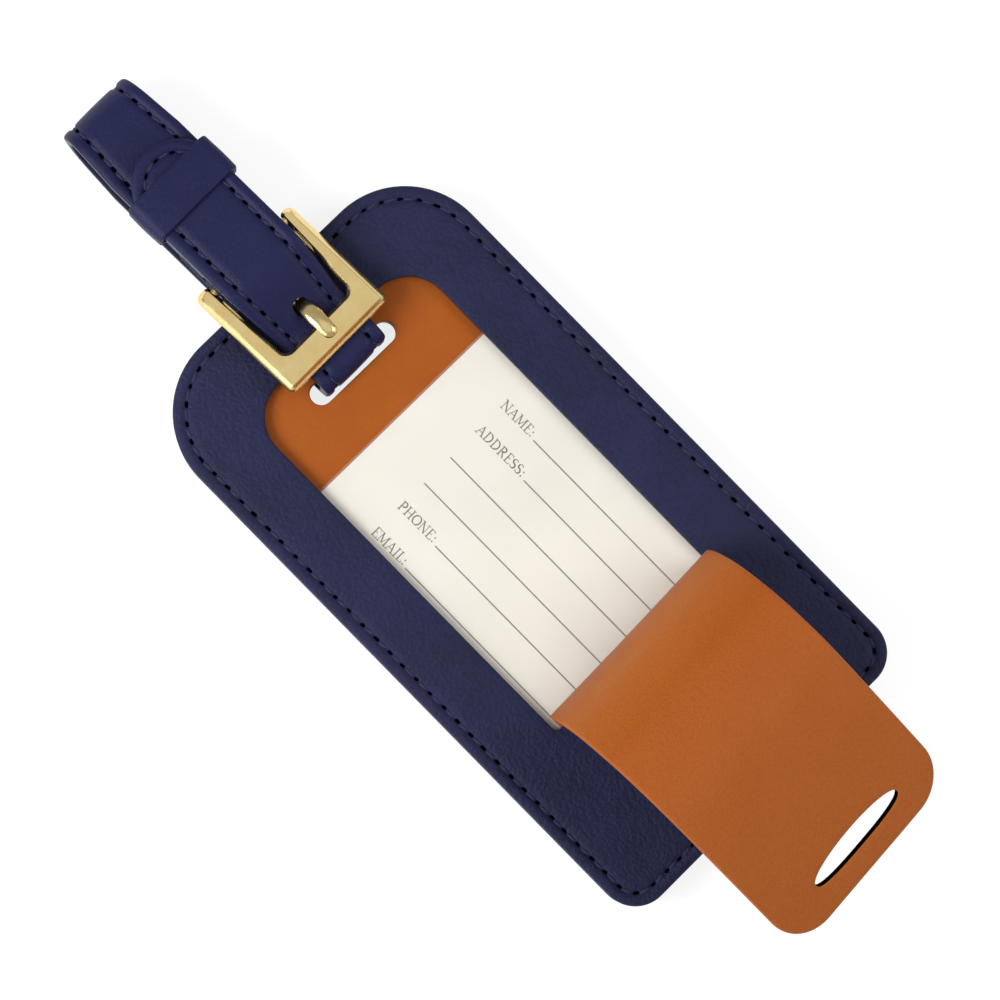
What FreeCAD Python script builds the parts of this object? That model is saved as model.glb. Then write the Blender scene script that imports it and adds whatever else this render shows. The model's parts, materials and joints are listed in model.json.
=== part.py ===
"""Leather luggage tag with an address window, a curled privacy flap and a buckled strap.

Millimetres. +Z is up, +Y runs along the tag towards the strap. The origin is the centre of the tag's
back face. The strap, the buckle and the keeper are drawn straight along Y and then turned together
about the middle of the tag's slot.
"""

import FreeCAD, Part
import math
import os

os.makedirs("parts", exist_ok=True)

# Tag body
BODY_W = 68.0
BODY_L = 127.0
TOP_CORNER_R = 16.6
BOTTOM_CORNER_R = 6.6
PLY_INSET = 0.8
STITCH_INSET = 2.4
THREAD_W = 0.6
THREAD_T = 0.25

# Plies of the tag body, from the back face up
BACK_T = 1.2
BOARD_T = 0.5
INSERT_T = 0.8
FILLER_T = 0.7
FRAME_T = 1.3
CARD_T = 0.35
SHEET_T = 0.25

# Window, slot, card pocket, card and clear sheet
WINDOW_W = 40.8
WINDOW_TOP_Y = 49.0
WINDOW_BOTTOM_Y = -29.8
WINDOW_CORNER_R = 8.1
WINDOW_ROOT_R = 1.0
SLOT_L = 19.9
SLOT_W = 4.2
SLOT_Y = 42.65
CARD_W = 50.8
CARD_L = 88.9
CARD_TOP_Y = 30.0
CARD_CORNER_R = 1.5
POCKET_PLAY = 0.5
POCKET_TOP_Y = 52.0
SHEET_TOP_Y = 30.4
SHEET_INSET = 1.6

# Flap: a flat root, then straight facets by (length, climb in degrees), the last one being the end
FLAP_W = 40.6
FLAP_T = 1.5
FLAP_SKIVED_T = 0.65
FLAP_SKIVE_END_Y = -28.7
FLAP_CORNER_R = 8.0
FLAP_SLOT_FROM_TIP = 6.0
FLAP_FOLD_Y = -27.2
FLAP_FACETS = [(9.4, 88.0), (10.6, 115.0), (11.2, 147.0), (11.4, 182.0)]
FLAP_END = (33.5, 203.5)
FOLD_GAP = 0.8
FACET_GAP = 0.42

# Strap, in the plane X = 0
STRAP_W = 16.8
NECK_W = 14.8
LOOP_END_W = 15.0
PLY_T = 1.1
NECK_END_Y = 53.0
FULL_WIDTH_Y = 65.5
LOOP_TAPER_Y = 94.0
UPPER_Z = 11.65
UNDER_BAR_Z = 5.7
RETURN_Z = -1.45
LOOP_TOP_Z = 9.3
TIP_Y = 94.0
RISE_Y = (53.0, 64.5)
LOOP_END_Y = 106.2
FOLD_TAIL_Y = 79.0
LINING_END_Y = 71.0
STRAP_STITCH_INSET = 2.4
STRAP_THREAD_W = 0.5
STRAP_YAW_DEG = 1.3

# Buckle
BUCKLE_FRONT_Y = 46.7
BUCKLE_HEEL_Y = 70.0
BUCKLE_FRONT_W = 24.2
BUCKLE_HEEL_W = 22.5
FRONT_BAR = 4.8
OPENING_FRONT_W = 16.5
OPENING_HEEL_W = 17.9
BUCKLE_Z = (7.0, 9.5)
BUCKLE_BEVEL = 0.5
HEEL_BAR_Y = 68.5
HEEL_BAR_R = 1.0
BAR_PLAY = 0.05
PRONG_X = 0.5
PRONG_W = 2.2
PRONG_T = 1.8
PRONG_TIP_Y = 48.4
NOTCH_W = 2.8
NOTCH_DEPTH = 0.85
NOTCH_END_Y = 48.0
HOLE_W = 3.2
HOLE_Y = (54.7, 61.9)
PRONG_SLIT_W = 3.0

# Keeper
KEEPER_Y = (80.8, 88.9)
KEEPER_T = 1.1
KEEPER_PLAY = 0.1

STRAP_T = 2 * PLY_T
HEEL_BAR_Z = LOOP_TOP_Z - HEEL_BAR_R - BAR_PLAY
BOARD_Z = BACK_T
INSERT_Z = BOARD_Z + BOARD_T
FILLER_Z = INSERT_Z + INSERT_T
FRAME_Z = FILLER_Z + FILLER_T
TOP_Z = FRAME_Z + FRAME_T
FLAP_Z = FRAME_Z + 0.05 + FLAP_T / 2


def vec(x, y, z=0.0):
    return FreeCAD.Vector(x, y, z)


def save(node, shape):
    shape.exportStep("parts/" + node + ".step")


def filleted_edges(points, radii):
    """Lines and tangent arcs through a row of points. The first and last points have no radius."""
    edges = []
    start = points[0]
    for before, corner, after, r in zip(points, points[1:], points[2:], radii):
        back = (before - corner).normalize()
        ahead = (after - corner).normalize()
        half = back.getAngle(ahead) / 2
        cut = r / math.tan(half)
        entry = corner + back * cut
        leave = corner + ahead * cut
        middle_dir = (back + ahead).normalize()
        middle = corner + middle_dir * (r / math.sin(half) - r)
        if (entry - start).Length > 1e-6:
            edges.append(Part.LineSegment(start, entry).toShape())
        edges.append(Part.Arc(entry, middle, leave).toShape())
        start = leave
    edges.append(Part.LineSegment(start, points[-1]).toShape())
    return edges


def slab(x0, x1, y0, y1, z0, z1):
    return Part.makeBox(x1 - x0, y1 - y0, z1 - z0, vec(x0, y0, z0))


def outline_plate(half_low, half_high, y0, y1, r_low, r_high, z0, z1):
    """A plate that is symmetric about X = 0, with its own half width and corner radius at each end."""
    corners = [(0, y0), (half_low, y0), (half_high, y1), (-half_high, y1), (-half_low, y0), (0, y0)]
    points = [vec(x, y, z0) for x, y in corners]
    edges = filleted_edges(points, [r_low, r_high, r_high, r_low])
    return Part.Face(Part.Wire(edges)).extrude(vec(0, 0, z1 - z0))


def body_plate(inset, z0, z1):
    """The tag's outline, drawn in by inset."""
    half = BODY_W / 2 - inset
    end = BODY_L / 2 - inset
    return outline_plate(half, half, -end, end, BOTTOM_CORNER_R - inset, TOP_CORNER_R - inset, z0, z1)


def stadium(length, width, y, z0, z1):
    r = width / 2
    half = length / 2
    return outline_plate(half, half, y - r, y + r, r * 0.999, r * 0.999, z0, z1)


def tag_slot(z0, z1):
    return stadium(SLOT_L, SLOT_W, SLOT_Y, z0, z1)


def border_thread(z0):
    outer = body_plate(STITCH_INSET - THREAD_W / 2, z0, z0 + THREAD_T)
    inner = body_plate(STITCH_INSET + THREAD_W / 2, z0, z0 + THREAD_T)
    return outer.cut(inner)


def window(z0, z1):
    half = WINDOW_W / 2
    return outline_plate(
        half, half, WINDOW_BOTTOM_Y, WINDOW_TOP_Y, WINDOW_ROOT_R, WINDOW_CORNER_R, z0, z1
    )


def clear_sheet(z0, z1, grow=0.0):
    half = BODY_W / 2 - SHEET_INSET + grow
    low = -BODY_L / 2 + SHEET_INSET - grow
    return outline_plate(half, half, low, SHEET_TOP_Y + grow, BOTTOM_CORNER_R - SHEET_INSET, 1.0, z0, z1)


def flap_tongue(z0, z1, grow=0.0):
    """The skived end of the flap that is sewn in under the frame's lower border."""
    half = FLAP_W / 2 + grow
    low = -BODY_L / 2 + SHEET_INSET - grow
    return slab(-half, half, low, FLAP_SKIVE_END_Y + grow, z0, z1)


def make_body():
    sheet_z = FRAME_Z - SHEET_T
    back_thread = border_thread(0.0)
    front_thread = border_thread(TOP_Z - THREAD_T)
    back = body_plate(0.0, 0.0, BACK_T).cut(tag_slot(-1, BACK_T + 1)).cut(back_thread)
    board = body_plate(PLY_INSET, BOARD_Z, INSERT_Z).cut(tag_slot(BOARD_Z - 1, INSERT_Z + 1))
    insert = body_plate(PLY_INSET, INSERT_Z, FILLER_Z).cut(tag_slot(INSERT_Z - 1, FILLER_Z + 1))
    pocket_half = CARD_W / 2 + POCKET_PLAY
    pocket_low = CARD_TOP_Y - CARD_L - POCKET_PLAY
    pocket = outline_plate(
        pocket_half, pocket_half, pocket_low, POCKET_TOP_Y, 1.0, 4.0, FILLER_Z - 1, FRAME_Z + 1
    )
    filler = body_plate(PLY_INSET, FILLER_Z, FRAME_Z).cut(pocket)
    filler = filler.cut(clear_sheet(sheet_z, FRAME_Z + 1, 0.05))
    frame = body_plate(0.0, FRAME_Z, TOP_Z).cut(window(FRAME_Z - 1, TOP_Z + 1)).cut(front_thread)
    tongue_top = FRAME_Z + 0.05 + FLAP_SKIVED_T
    frame = frame.cut(flap_tongue(FRAME_Z - 1, tongue_top + 0.05, 0.1))
    save("back_panel", back)
    save("stiffener_board", board)
    save("insert_panel", insert)
    save("pocket_filler", filler)
    save("clear_window", clear_sheet(sheet_z, FRAME_Z))
    save("front_frame", frame)
    save("back_thread", back_thread)
    save("front_thread", front_thread)


def make_card():
    z = FILLER_Z + 0.05
    half = CARD_W / 2
    low = CARD_TOP_Y - CARD_L
    r = CARD_CORNER_R
    save("address_card", outline_plate(half, half, low, CARD_TOP_Y, r, r, z, z + CARD_T))


def placed_along(shape, y, z, angle_deg):
    """Moves a shape drawn along +Y from the origin to start at (y, z) and climb at that angle."""
    shape = shape.copy()
    shape.rotate(vec(0, 0, 0), vec(1, 0, 0), angle_deg)
    shape.translate(vec(0, y, z))
    return shape


def make_flap():
    half = FLAP_W / 2
    low = -FLAP_T / 2
    high = FLAP_T / 2
    root = slab(-half, half, FLAP_SKIVE_END_Y, FLAP_FOLD_Y - FOLD_GAP, FLAP_Z + low, FLAP_Z + high)
    tongue_z = FLAP_Z + low
    save("flap_root", root.fuse(flap_tongue(tongue_z, tongue_z + FLAP_SKIVED_T)).removeSplitter())
    y, z = FLAP_FOLD_Y, FLAP_Z
    start_gap = FOLD_GAP
    for i, (length, climb) in enumerate(FLAP_FACETS):
        facet = slab(-half, half, start_gap, length - FACET_GAP, low, high)
        save("flap_curl_%d" % (i + 1), placed_along(facet, y, z, climb))
        y += length * math.cos(math.radians(climb))
        z += length * math.sin(math.radians(climb))
        start_gap = FACET_GAP
    length, climb = FLAP_END
    tip = outline_plate(half, half, FACET_GAP, length, 0.3, FLAP_CORNER_R, low, high)
    slot = stadium(SLOT_L, SLOT_W, length - FLAP_SLOT_FROM_TIP, low - 1, high + 1)
    save("flap_end", placed_along(tip.cut(slot), y, z, climb))


def offset_path(points, radii, distance):
    """The row of points and radii that runs beside a path in the YZ plane, at distance to its left."""
    heads = [(b - a).normalize() for a, b in zip(points, points[1:])]
    lefts = [vec(0, -h.z, h.y) for h in heads]
    moved = [points[0] + lefts[0] * distance]
    new_radii = []
    for i, r in enumerate(radii):
        turn = heads[i].y * heads[i + 1].z - heads[i].z * heads[i + 1].y
        bisector = (lefts[i] + lefts[i + 1]).normalize()
        reach = distance / bisector.dot(lefts[i])
        moved.append(points[i + 1] + bisector * reach)
        new_radii.append(r - math.copysign(1, turn) * distance)
    moved.append(points[-1] + lefts[-1] * distance)
    return moved, new_radii


def band(points, radii, low, high, x0, x1):
    """A ply that follows a path in the YZ plane, between two distances to its left, from x0 to x1."""
    path = [vec(x0, y, z) for y, z in points]
    near, near_radii = offset_path(path, radii, low)
    far, far_radii = offset_path(path, radii, high)
    edges = filleted_edges(near, near_radii)
    edges += filleted_edges(far, far_radii)
    edges.append(Part.LineSegment(near[0], far[0]).toShape())
    edges.append(Part.LineSegment(near[-1], far[-1]).toShape())
    wire = Part.Wire(Part.sortEdges(edges)[0])
    return Part.Face(wire).extrude(vec(x1 - x0, 0, 0))


def strap_path(end_y):
    """The strap's middle line from the free tip, through the tag's slot, round the loop to end_y."""
    points = [
        (TIP_Y, UPPER_Z),
        (RISE_Y[1], UPPER_Z),
        (RISE_Y[0], UNDER_BAR_Z),
        (SLOT_Y, UNDER_BAR_Z),
        (SLOT_Y, RETURN_Z),
        (LOOP_END_Y, RETURN_Z),
        (LOOP_END_Y, LOOP_TOP_Z),
        (end_y, LOOP_TOP_Z),
    ]
    loop_r = (LOOP_TOP_Z - RETURN_Z) / 2 * 0.999
    return points, [8.0, 8.0, 1.6, 1.6, loop_r, loop_r]


def strap_outline():
    """The strap's width seen from above: a narrow neck at the tag, a tapered loop end."""
    stations = [
        (SLOT_Y - 8, NECK_W),
        (NECK_END_Y, NECK_W),
        (FULL_WIDTH_Y, STRAP_W),
        (LOOP_TAPER_Y, STRAP_W),
        (LOOP_END_Y + 8, LOOP_END_W),
    ]
    right = [vec(w / 2, y, -20) for y, w in stations]
    left = [vec(-w / 2, y, -20) for y, w in reversed(stations)]
    return Part.Face(Part.makePolygon(right + left + [right[0]])).extrude(vec(0, 0, 60))


def tip_waste():
    """What is cut away to round the strap's free tip."""
    r = STRAP_W / 2
    z = UPPER_Z - STRAP_T / 2 - 0.01
    height = STRAP_T + 0.02
    corner = slab(-r - 1, r + 1, TIP_Y - r, TIP_Y + 1, z, z + height)
    return corner.cut(Part.makeCylinder(r, height, vec(0, TIP_Y - r, z)))


def prong_hole():
    """The strap's hole for the prong, long enough for the prong's lift."""
    r = HOLE_W / 2 * 0.999
    low, high = HOLE_Y
    half = HOLE_W / 2
    hole = outline_plate(half, half, low, high, r, r, UNDER_BAR_Z - 1.5, UPPER_Z + 1.5)
    hole.translate(vec(PRONG_X, 0, 0))
    return hole


def fold_path():
    """The face ply's fold round the heel bar and its tail, which lies under the loop's upper side."""
    r = HEEL_BAR_R + BAR_PLAY + PLY_T / 2
    top = HEEL_BAR_Z + r
    low = HEEL_BAR_Z - r
    tail_z = LOOP_TOP_Z - STRAP_T / 2 - 0.02 - PLY_T / 2
    points = [
        (LINING_END_Y, top),
        (HEEL_BAR_Y - r, top),
        (HEEL_BAR_Y - r, low),
        (HEEL_BAR_Y + 4.0, low),
        (HEEL_BAR_Y + 7.0, tail_z),
        (FOLD_TAIL_Y, tail_z),
    ]
    return points, [r * 0.999, r * 0.999, 3.0, 3.0]


def prong_slit():
    """The slit in the fold that the prong's eye turns in."""
    half = PRONG_SLIT_W / 2
    reach = HEEL_BAR_R + BAR_PLAY + PLY_T + 1
    return slab(
        PRONG_X - half, PRONG_X + half, HEEL_BAR_Y - reach, HEEL_BAR_Y + reach,
        HEEL_BAR_Z - reach, HEEL_BAR_Z + reach - 0.5,
    )


def strap_thread(side):
    """One row of stitching, let into the strap's face."""
    points, radii = strap_path(LINING_END_Y)
    x = side * (STRAP_W / 2 - STRAP_STITCH_INSET)
    half = STRAP_THREAD_W / 2
    low = -STRAP_T / 2
    row = band(points, radii, low, low + THREAD_T, x - half, x + half)
    return row.cut(tip_waste_for_thread())


def tip_waste_for_thread():
    """Ends the stitching rows short of the strap's rounded tip."""
    return slab(-STRAP_W, STRAP_W, TIP_Y - STRAP_W / 4, TIP_Y + 1, UPPER_Z, UPPER_Z + STRAP_T)


def make_strap():
    half = STRAP_W / 2
    points, radii = strap_path(LINING_END_Y)
    outline = strap_outline()
    face = band(points, radii, -PLY_T, 0.0, -half, half)
    lining = band(points, radii, 0.0, PLY_T, -half, half)
    fold_points, fold_radii = fold_path()
    fold = band(fold_points, fold_radii, -PLY_T / 2, PLY_T / 2, -half, half).cut(prong_slit())
    threads = {"left": strap_thread(-1), "right": strap_thread(1)}
    fold_thread = slab(
        -half + STRAP_STITCH_INSET, half - STRAP_STITCH_INSET, FOLD_TAIL_Y - 2.0, FOLD_TAIL_Y - 1.5,
        LOOP_TOP_Z - STRAP_T / 2 - 0.02 - PLY_T, LOOP_TOP_Z - STRAP_T / 2 - 0.02 - PLY_T + THREAD_T,
    )
    face = face.fuse(fold).common(outline).cut(tip_waste()).cut(prong_hole())
    for thread in threads.values():
        face = face.cut(thread)
    face = face.cut(fold_thread)
    lining = lining.common(outline).cut(tip_waste()).cut(prong_hole())
    save_strap_piece("strap_face", face)
    save_strap_piece("strap_lining", lining)
    for side, thread in threads.items():
        save_strap_piece("strap_thread_" + side, thread)
    save_strap_piece("fold_thread", fold_thread)


def save_strap_piece(node, shape):
    """Turns a piece of the strap assembly with the strap, about the middle of the tag's slot."""
    shape = shape.copy()
    shape.rotate(vec(0, SLOT_Y, 0), vec(0, 0, 1), STRAP_YAW_DEG)
    save(node, shape)


def make_keeper():
    half = STRAP_W / 2 + KEEPER_PLAY
    z0 = LOOP_TOP_Z - STRAP_T / 2 - KEEPER_PLAY
    z1 = UPPER_Z + STRAP_T / 2 + KEEPER_PLAY
    y0, y1 = KEEPER_Y
    t = KEEPER_T
    outer = slab(-half - t, half + t, y0, y1, z0 - t, z1 + t)
    along = [e for e in outer.Edges if abs(e.Vertexes[0].Y - e.Vertexes[1].Y) > 1]
    outer = outer.makeFillet(t, along)
    keeper = outer.cut(slab(-half, half, y0 - 1, y1 + 1, z0, z1))
    staple_z = z0 - t
    staple = slab(-1.0, 1.0, y0 + 3.5, y0 + 4.1, staple_z, staple_z + 0.5)
    save_strap_piece("keeper_loop", keeper.cut(staple))
    save_strap_piece("keeper_staple", staple)


def make_buckle_frame():
    z0, z1 = BUCKLE_Z
    length = BUCKLE_HEEL_Y - BUCKLE_FRONT_Y
    front_half = BUCKLE_FRONT_W / 2
    heel_half = BUCKLE_HEEL_W / 2
    frame = outline_plate(front_half, heel_half, BUCKLE_FRONT_Y, BUCKLE_HEEL_Y, 1.6, 1.0, z0, z1)
    top = [e for e in frame.Edges if e.BoundBox.ZMin > z1 - 0.01]
    frame = frame.makeChamfer(BUCKLE_BEVEL, top)
    opening_low = BUCKLE_FRONT_Y + FRONT_BAR
    slope = (OPENING_HEEL_W - OPENING_FRONT_W) / 2 / (length - FRONT_BAR)
    heel_open = OPENING_HEEL_W / 2 + slope * 2
    opening = outline_plate(
        OPENING_FRONT_W / 2, heel_open, opening_low, BUCKLE_HEEL_Y + 2, 1.8, 0.5, z0 - 1, z1 + 1
    )
    notch_half = NOTCH_W / 2
    notch = slab(
        PRONG_X - notch_half, PRONG_X + notch_half, NOTCH_END_Y, opening_low + 1, z1 - NOTCH_DEPTH, z1 + 1
    )
    pin_hole = heel_bar()
    return frame.cut(opening).cut(notch).cut(pin_hole)


def heel_bar():
    length = BUCKLE_HEEL_W - 0.4
    return Part.makeCylinder(HEEL_BAR_R, length, vec(-length / 2, HEEL_BAR_Y, HEEL_BAR_Z), vec(1, 0, 0))


def make_prong():
    """An eye on the heel bar and a flat tongue that dips under the strap and comes up to the notch."""
    half = PRONG_W / 2
    inner = HEEL_BAR_R + BAR_PLAY
    rest_z = BUCKLE_Z[1] - NOTCH_DEPTH + 0.04 + PRONG_T / 2
    points = [
        (HEEL_BAR_Y - HEEL_BAR_R, HEEL_BAR_Z - 0.3),
        (HEEL_BAR_Y - 7.0, HEEL_BAR_Z - 1.3),
        (HEEL_BAR_Y - 13.5, rest_z + 0.1),
        (PRONG_TIP_Y, rest_z),
    ]
    tongue = band(points, [6.0, 4.0], -PRONG_T / 2, PRONG_T / 2, PRONG_X - half, PRONG_X + half)
    tip_edges = [e for e in tongue.Edges if e.BoundBox.YMax < PRONG_TIP_Y + 0.3 and e.Length > 1]
    tongue = tongue.makeFillet(0.6, tip_edges)
    start = vec(PRONG_X - half, HEEL_BAR_Y, HEEL_BAR_Z)
    eye = Part.makeCylinder(inner + 0.8, PRONG_W, start, vec(1, 0, 0))
    bore = Part.makeCylinder(inner, PRONG_W + 2, start - vec(1, 0, 0), vec(1, 0, 0))
    return tongue.fuse(eye).cut(bore).removeSplitter()


def make_buckle():
    save_strap_piece("buckle_frame", make_buckle_frame())
    save_strap_piece("heel_bar", heel_bar())
    save_strap_piece("prong", make_prong())


make_body()
make_card()
make_flap()
make_strap()
make_keeper()
make_buckle()
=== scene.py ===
"""Looks of a leather luggage tag: pebbled navy leather, a tan insert and flap, a printed card under
clear film, and a stitched strap with a polished buckle. Shapes are worked out in millimetres in the
frame of the CAD model and turned to metres when a mesh is made."""

import json
import math
import random

import bpy
import numpy as np
from mathutils import Matrix, Vector, noise
from mathutils.geometry import delaunay_2d_cdt


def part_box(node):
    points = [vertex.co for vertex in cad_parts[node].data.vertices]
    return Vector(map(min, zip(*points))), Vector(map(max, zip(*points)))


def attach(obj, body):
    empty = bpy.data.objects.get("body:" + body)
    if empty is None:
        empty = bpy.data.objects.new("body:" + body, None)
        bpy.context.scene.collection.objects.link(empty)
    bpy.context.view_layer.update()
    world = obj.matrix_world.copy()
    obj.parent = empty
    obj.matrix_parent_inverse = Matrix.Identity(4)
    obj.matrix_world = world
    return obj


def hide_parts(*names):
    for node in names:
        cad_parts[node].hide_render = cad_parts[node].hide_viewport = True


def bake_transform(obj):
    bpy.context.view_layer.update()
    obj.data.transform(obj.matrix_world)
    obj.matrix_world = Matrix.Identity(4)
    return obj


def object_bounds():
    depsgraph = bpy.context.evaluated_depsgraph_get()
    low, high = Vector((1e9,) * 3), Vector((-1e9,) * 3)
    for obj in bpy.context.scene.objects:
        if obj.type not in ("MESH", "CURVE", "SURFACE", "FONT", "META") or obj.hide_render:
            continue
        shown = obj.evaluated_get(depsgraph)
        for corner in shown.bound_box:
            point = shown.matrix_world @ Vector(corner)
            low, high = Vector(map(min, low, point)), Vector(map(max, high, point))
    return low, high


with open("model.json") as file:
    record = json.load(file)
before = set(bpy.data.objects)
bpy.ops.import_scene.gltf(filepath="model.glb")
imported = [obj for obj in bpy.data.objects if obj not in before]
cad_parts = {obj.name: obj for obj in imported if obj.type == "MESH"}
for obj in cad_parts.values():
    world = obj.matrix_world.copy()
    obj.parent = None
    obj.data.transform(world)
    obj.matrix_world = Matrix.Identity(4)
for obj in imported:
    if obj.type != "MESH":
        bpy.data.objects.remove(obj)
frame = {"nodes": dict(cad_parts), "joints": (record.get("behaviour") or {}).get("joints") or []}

CAD_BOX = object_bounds()
MM = 0.001
RNG = random.Random(7)

# ---------------------------------------------------------------- places read from the frame


def box_mm(node):
    low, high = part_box(node)
    return np.array(low) / MM, np.array(high) / MM


JOINTS = {j["name"]: j for j in frame["joints"]}
BODY_LOW, BODY_HIGH = box_mm("front_frame")
TOP_Z = BODY_HIGH[2]
FRAME_Z = BODY_LOW[2]
BACK_TOP_Z = box_mm("back_panel")[1][2]
INSERT_LOW, INSERT_HIGH = box_mm("insert_panel")
CARD_LOW, CARD_HIGH = box_mm("address_card")
SHEET_LOW, SHEET_HIGH = box_mm("clear_window")
FLAP_LOW, FLAP_HIGH = box_mm("flap_root")
SLOT_Y = JOINTS["strap_turn"]["pos_m"][1] / MM
ALONG = JOINTS["keeper_slide"]["axis"]
YAW = math.atan2(-ALONG[0], ALONG[1])

# ---------------------------------------------------------------- sizes of the leather work

TOP_CORNER_R = 16.6
BOTTOM_CORNER_R = 6.6
WINDOW_HALF_W = 20.4
WINDOW_TOP_Y = 49.0
WINDOW_LOW_Y = -29.8
WINDOW_R = 8.1
WINDOW_LOW_R = 1.0
SLOT_L = 19.9
SLOT_W = 4.2
INSERT_GAP = 0.8
STITCH_INSET = 2.4
BODY_PITCH = 3.4
STRAP_PITCH = 3.25

# ---------------------------------------------------------------- outlines


def rounded_loop(corners, step):
    """A closed counter-clockwise outline through (x, y, radius) corners, sampled every step mm or less."""
    points = []
    n = len(corners)
    for i, (x, y, r) in enumerate(corners):
        corner = np.array([x, y])
        before = np.array(corners[i - 1][:2]) - corner
        after = np.array(corners[(i + 1) % n][:2]) - corner
        before = before / np.linalg.norm(before)
        after = after / np.linalg.norm(after)
        half = math.acos(np.clip(before @ after, -1, 1)) / 2
        cut = r / math.tan(half)
        middle = (before + after) / np.linalg.norm(before + after)
        centre = corner + middle * (r / math.sin(half))
        entry = corner + before * cut - centre
        turn = math.pi - 2 * half
        side = 1 if after[0] * before[1] - after[1] * before[0] > 0 else -1
        steps = max(3, math.ceil(turn * r / step), math.ceil(turn / 0.2))
        for k in range(steps + 1):
            a = side * turn * k / steps
            c, s = math.cos(a), math.sin(a)
            points.append(centre + np.array([c * entry[0] - s * entry[1], s * entry[0] + c * entry[1]]))
    return fill_in(np.array(points), step)


def fill_in(points, step):
    """Adds evenly spaced points to the long sides of a closed outline."""
    out = []
    for a, b in zip(points, np.roll(points, -1, axis=0)):
        length = np.linalg.norm(b - a)
        if length < 1e-6:
            continue
        k = max(1, math.ceil(length / step))
        out += [a + (b - a) * i / k for i in range(k)]
    return np.array(out)


def box_loop(left, right, low, high, low_r, high_r, step):
    """A rectangle's outline, with one corner radius along its low side and one along its high side."""
    corners = [(left, low, low_r), (right, low, low_r), (right, high, high_r), (left, high, high_r)]
    return rounded_loop(corners, step)


def stadium_loop(cx, cy, length, width, step):
    r = width / 2 * 0.999
    x, y = length / 2, width / 2
    return box_loop(cx - x, cx + x, cy - y, cy + y, r, r, step)


def inset_loop(loop, distance):
    """Moves a closed outline to its left, which is inwards for a counter-clockwise one."""
    ahead = np.roll(loop, -1, axis=0) - loop
    ahead /= np.linalg.norm(ahead, axis=1)[:, None]
    behind = np.roll(ahead, 1, axis=0)
    tangent = ahead + behind
    tangent /= np.linalg.norm(tangent, axis=1)[:, None]
    left = np.stack([-tangent[:, 1], tangent[:, 0]], axis=1)
    stretch = 1 / np.maximum(np.sum(left * np.stack([-ahead[:, 1], ahead[:, 0]], axis=1), axis=1), 0.5)
    return loop + left * (distance * stretch)[:, None]


def inside(points, loop):
    """Which points lie inside a closed outline, by counting crossings."""
    x, y = points[:, 0][:, None], points[:, 1][:, None]
    x0, y0 = loop[:, 0][None], loop[:, 1][None]
    x1, y1 = np.roll(loop[:, 0], -1)[None], np.roll(loop[:, 1], -1)[None]
    spans = (y0 > y) != (y1 > y)
    rise = np.where(y1 == y0, 1e-12, y1 - y0)
    cross = x < (x1 - x0) * (y - y0) / rise + x0
    return (np.sum(spans & cross, axis=1) % 2) == 1


def away_from(points, loops, distance):
    keep = np.ones(len(points), bool)
    for loop in loops:
        for start in range(0, len(points), 2000):
            part = points[start : start + 2000]
            d = np.linalg.norm(part[:, None] - loop[None], axis=2).min(axis=1)
            keep[start : start + 2000] &= d > distance
    return points[keep]


# ---------------------------------------------------------------- plates: outlines with dressed edges


def plain_edge(radius, steps=4):
    """An edge rounded to that radius, as (inset, drop) from the wall inwards."""
    angles = [math.pi / 2 * i / steps for i in range(steps + 1)]
    return [(radius * (1 - math.cos(a)), radius * (1 - math.sin(a))) for a in angles]


def sewn_edge(radius, groove_inset, depth, rim):
    """A rounded edge with a raised rim and a sewn channel that sinks at groove_inset."""
    ring = plain_edge(radius)[:-1]
    ring += [
        (radius + 0.1, -rim * 0.6),
        (groove_inset * 0.5, -rim),
        (groove_inset - 0.75, -rim * 0.55),
        (groove_inset - 0.38, depth * 0.45),
        (groove_inset, depth),
        (groove_inset + 0.38, depth * 0.45),
        (groove_inset + 0.8, -rim * 0.35),
        (groove_inset + 1.6, -rim * 0.5),
    ]
    return ring


TOP, BOTTOM, OUTER_WALL, HOLE_WALL = 1, -1, 0, 2
SKIN_AND_EDGE = {TOP: 0, BOTTOM: 0, OUTER_WALL: 1, HOLE_WALL: 1}


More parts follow.
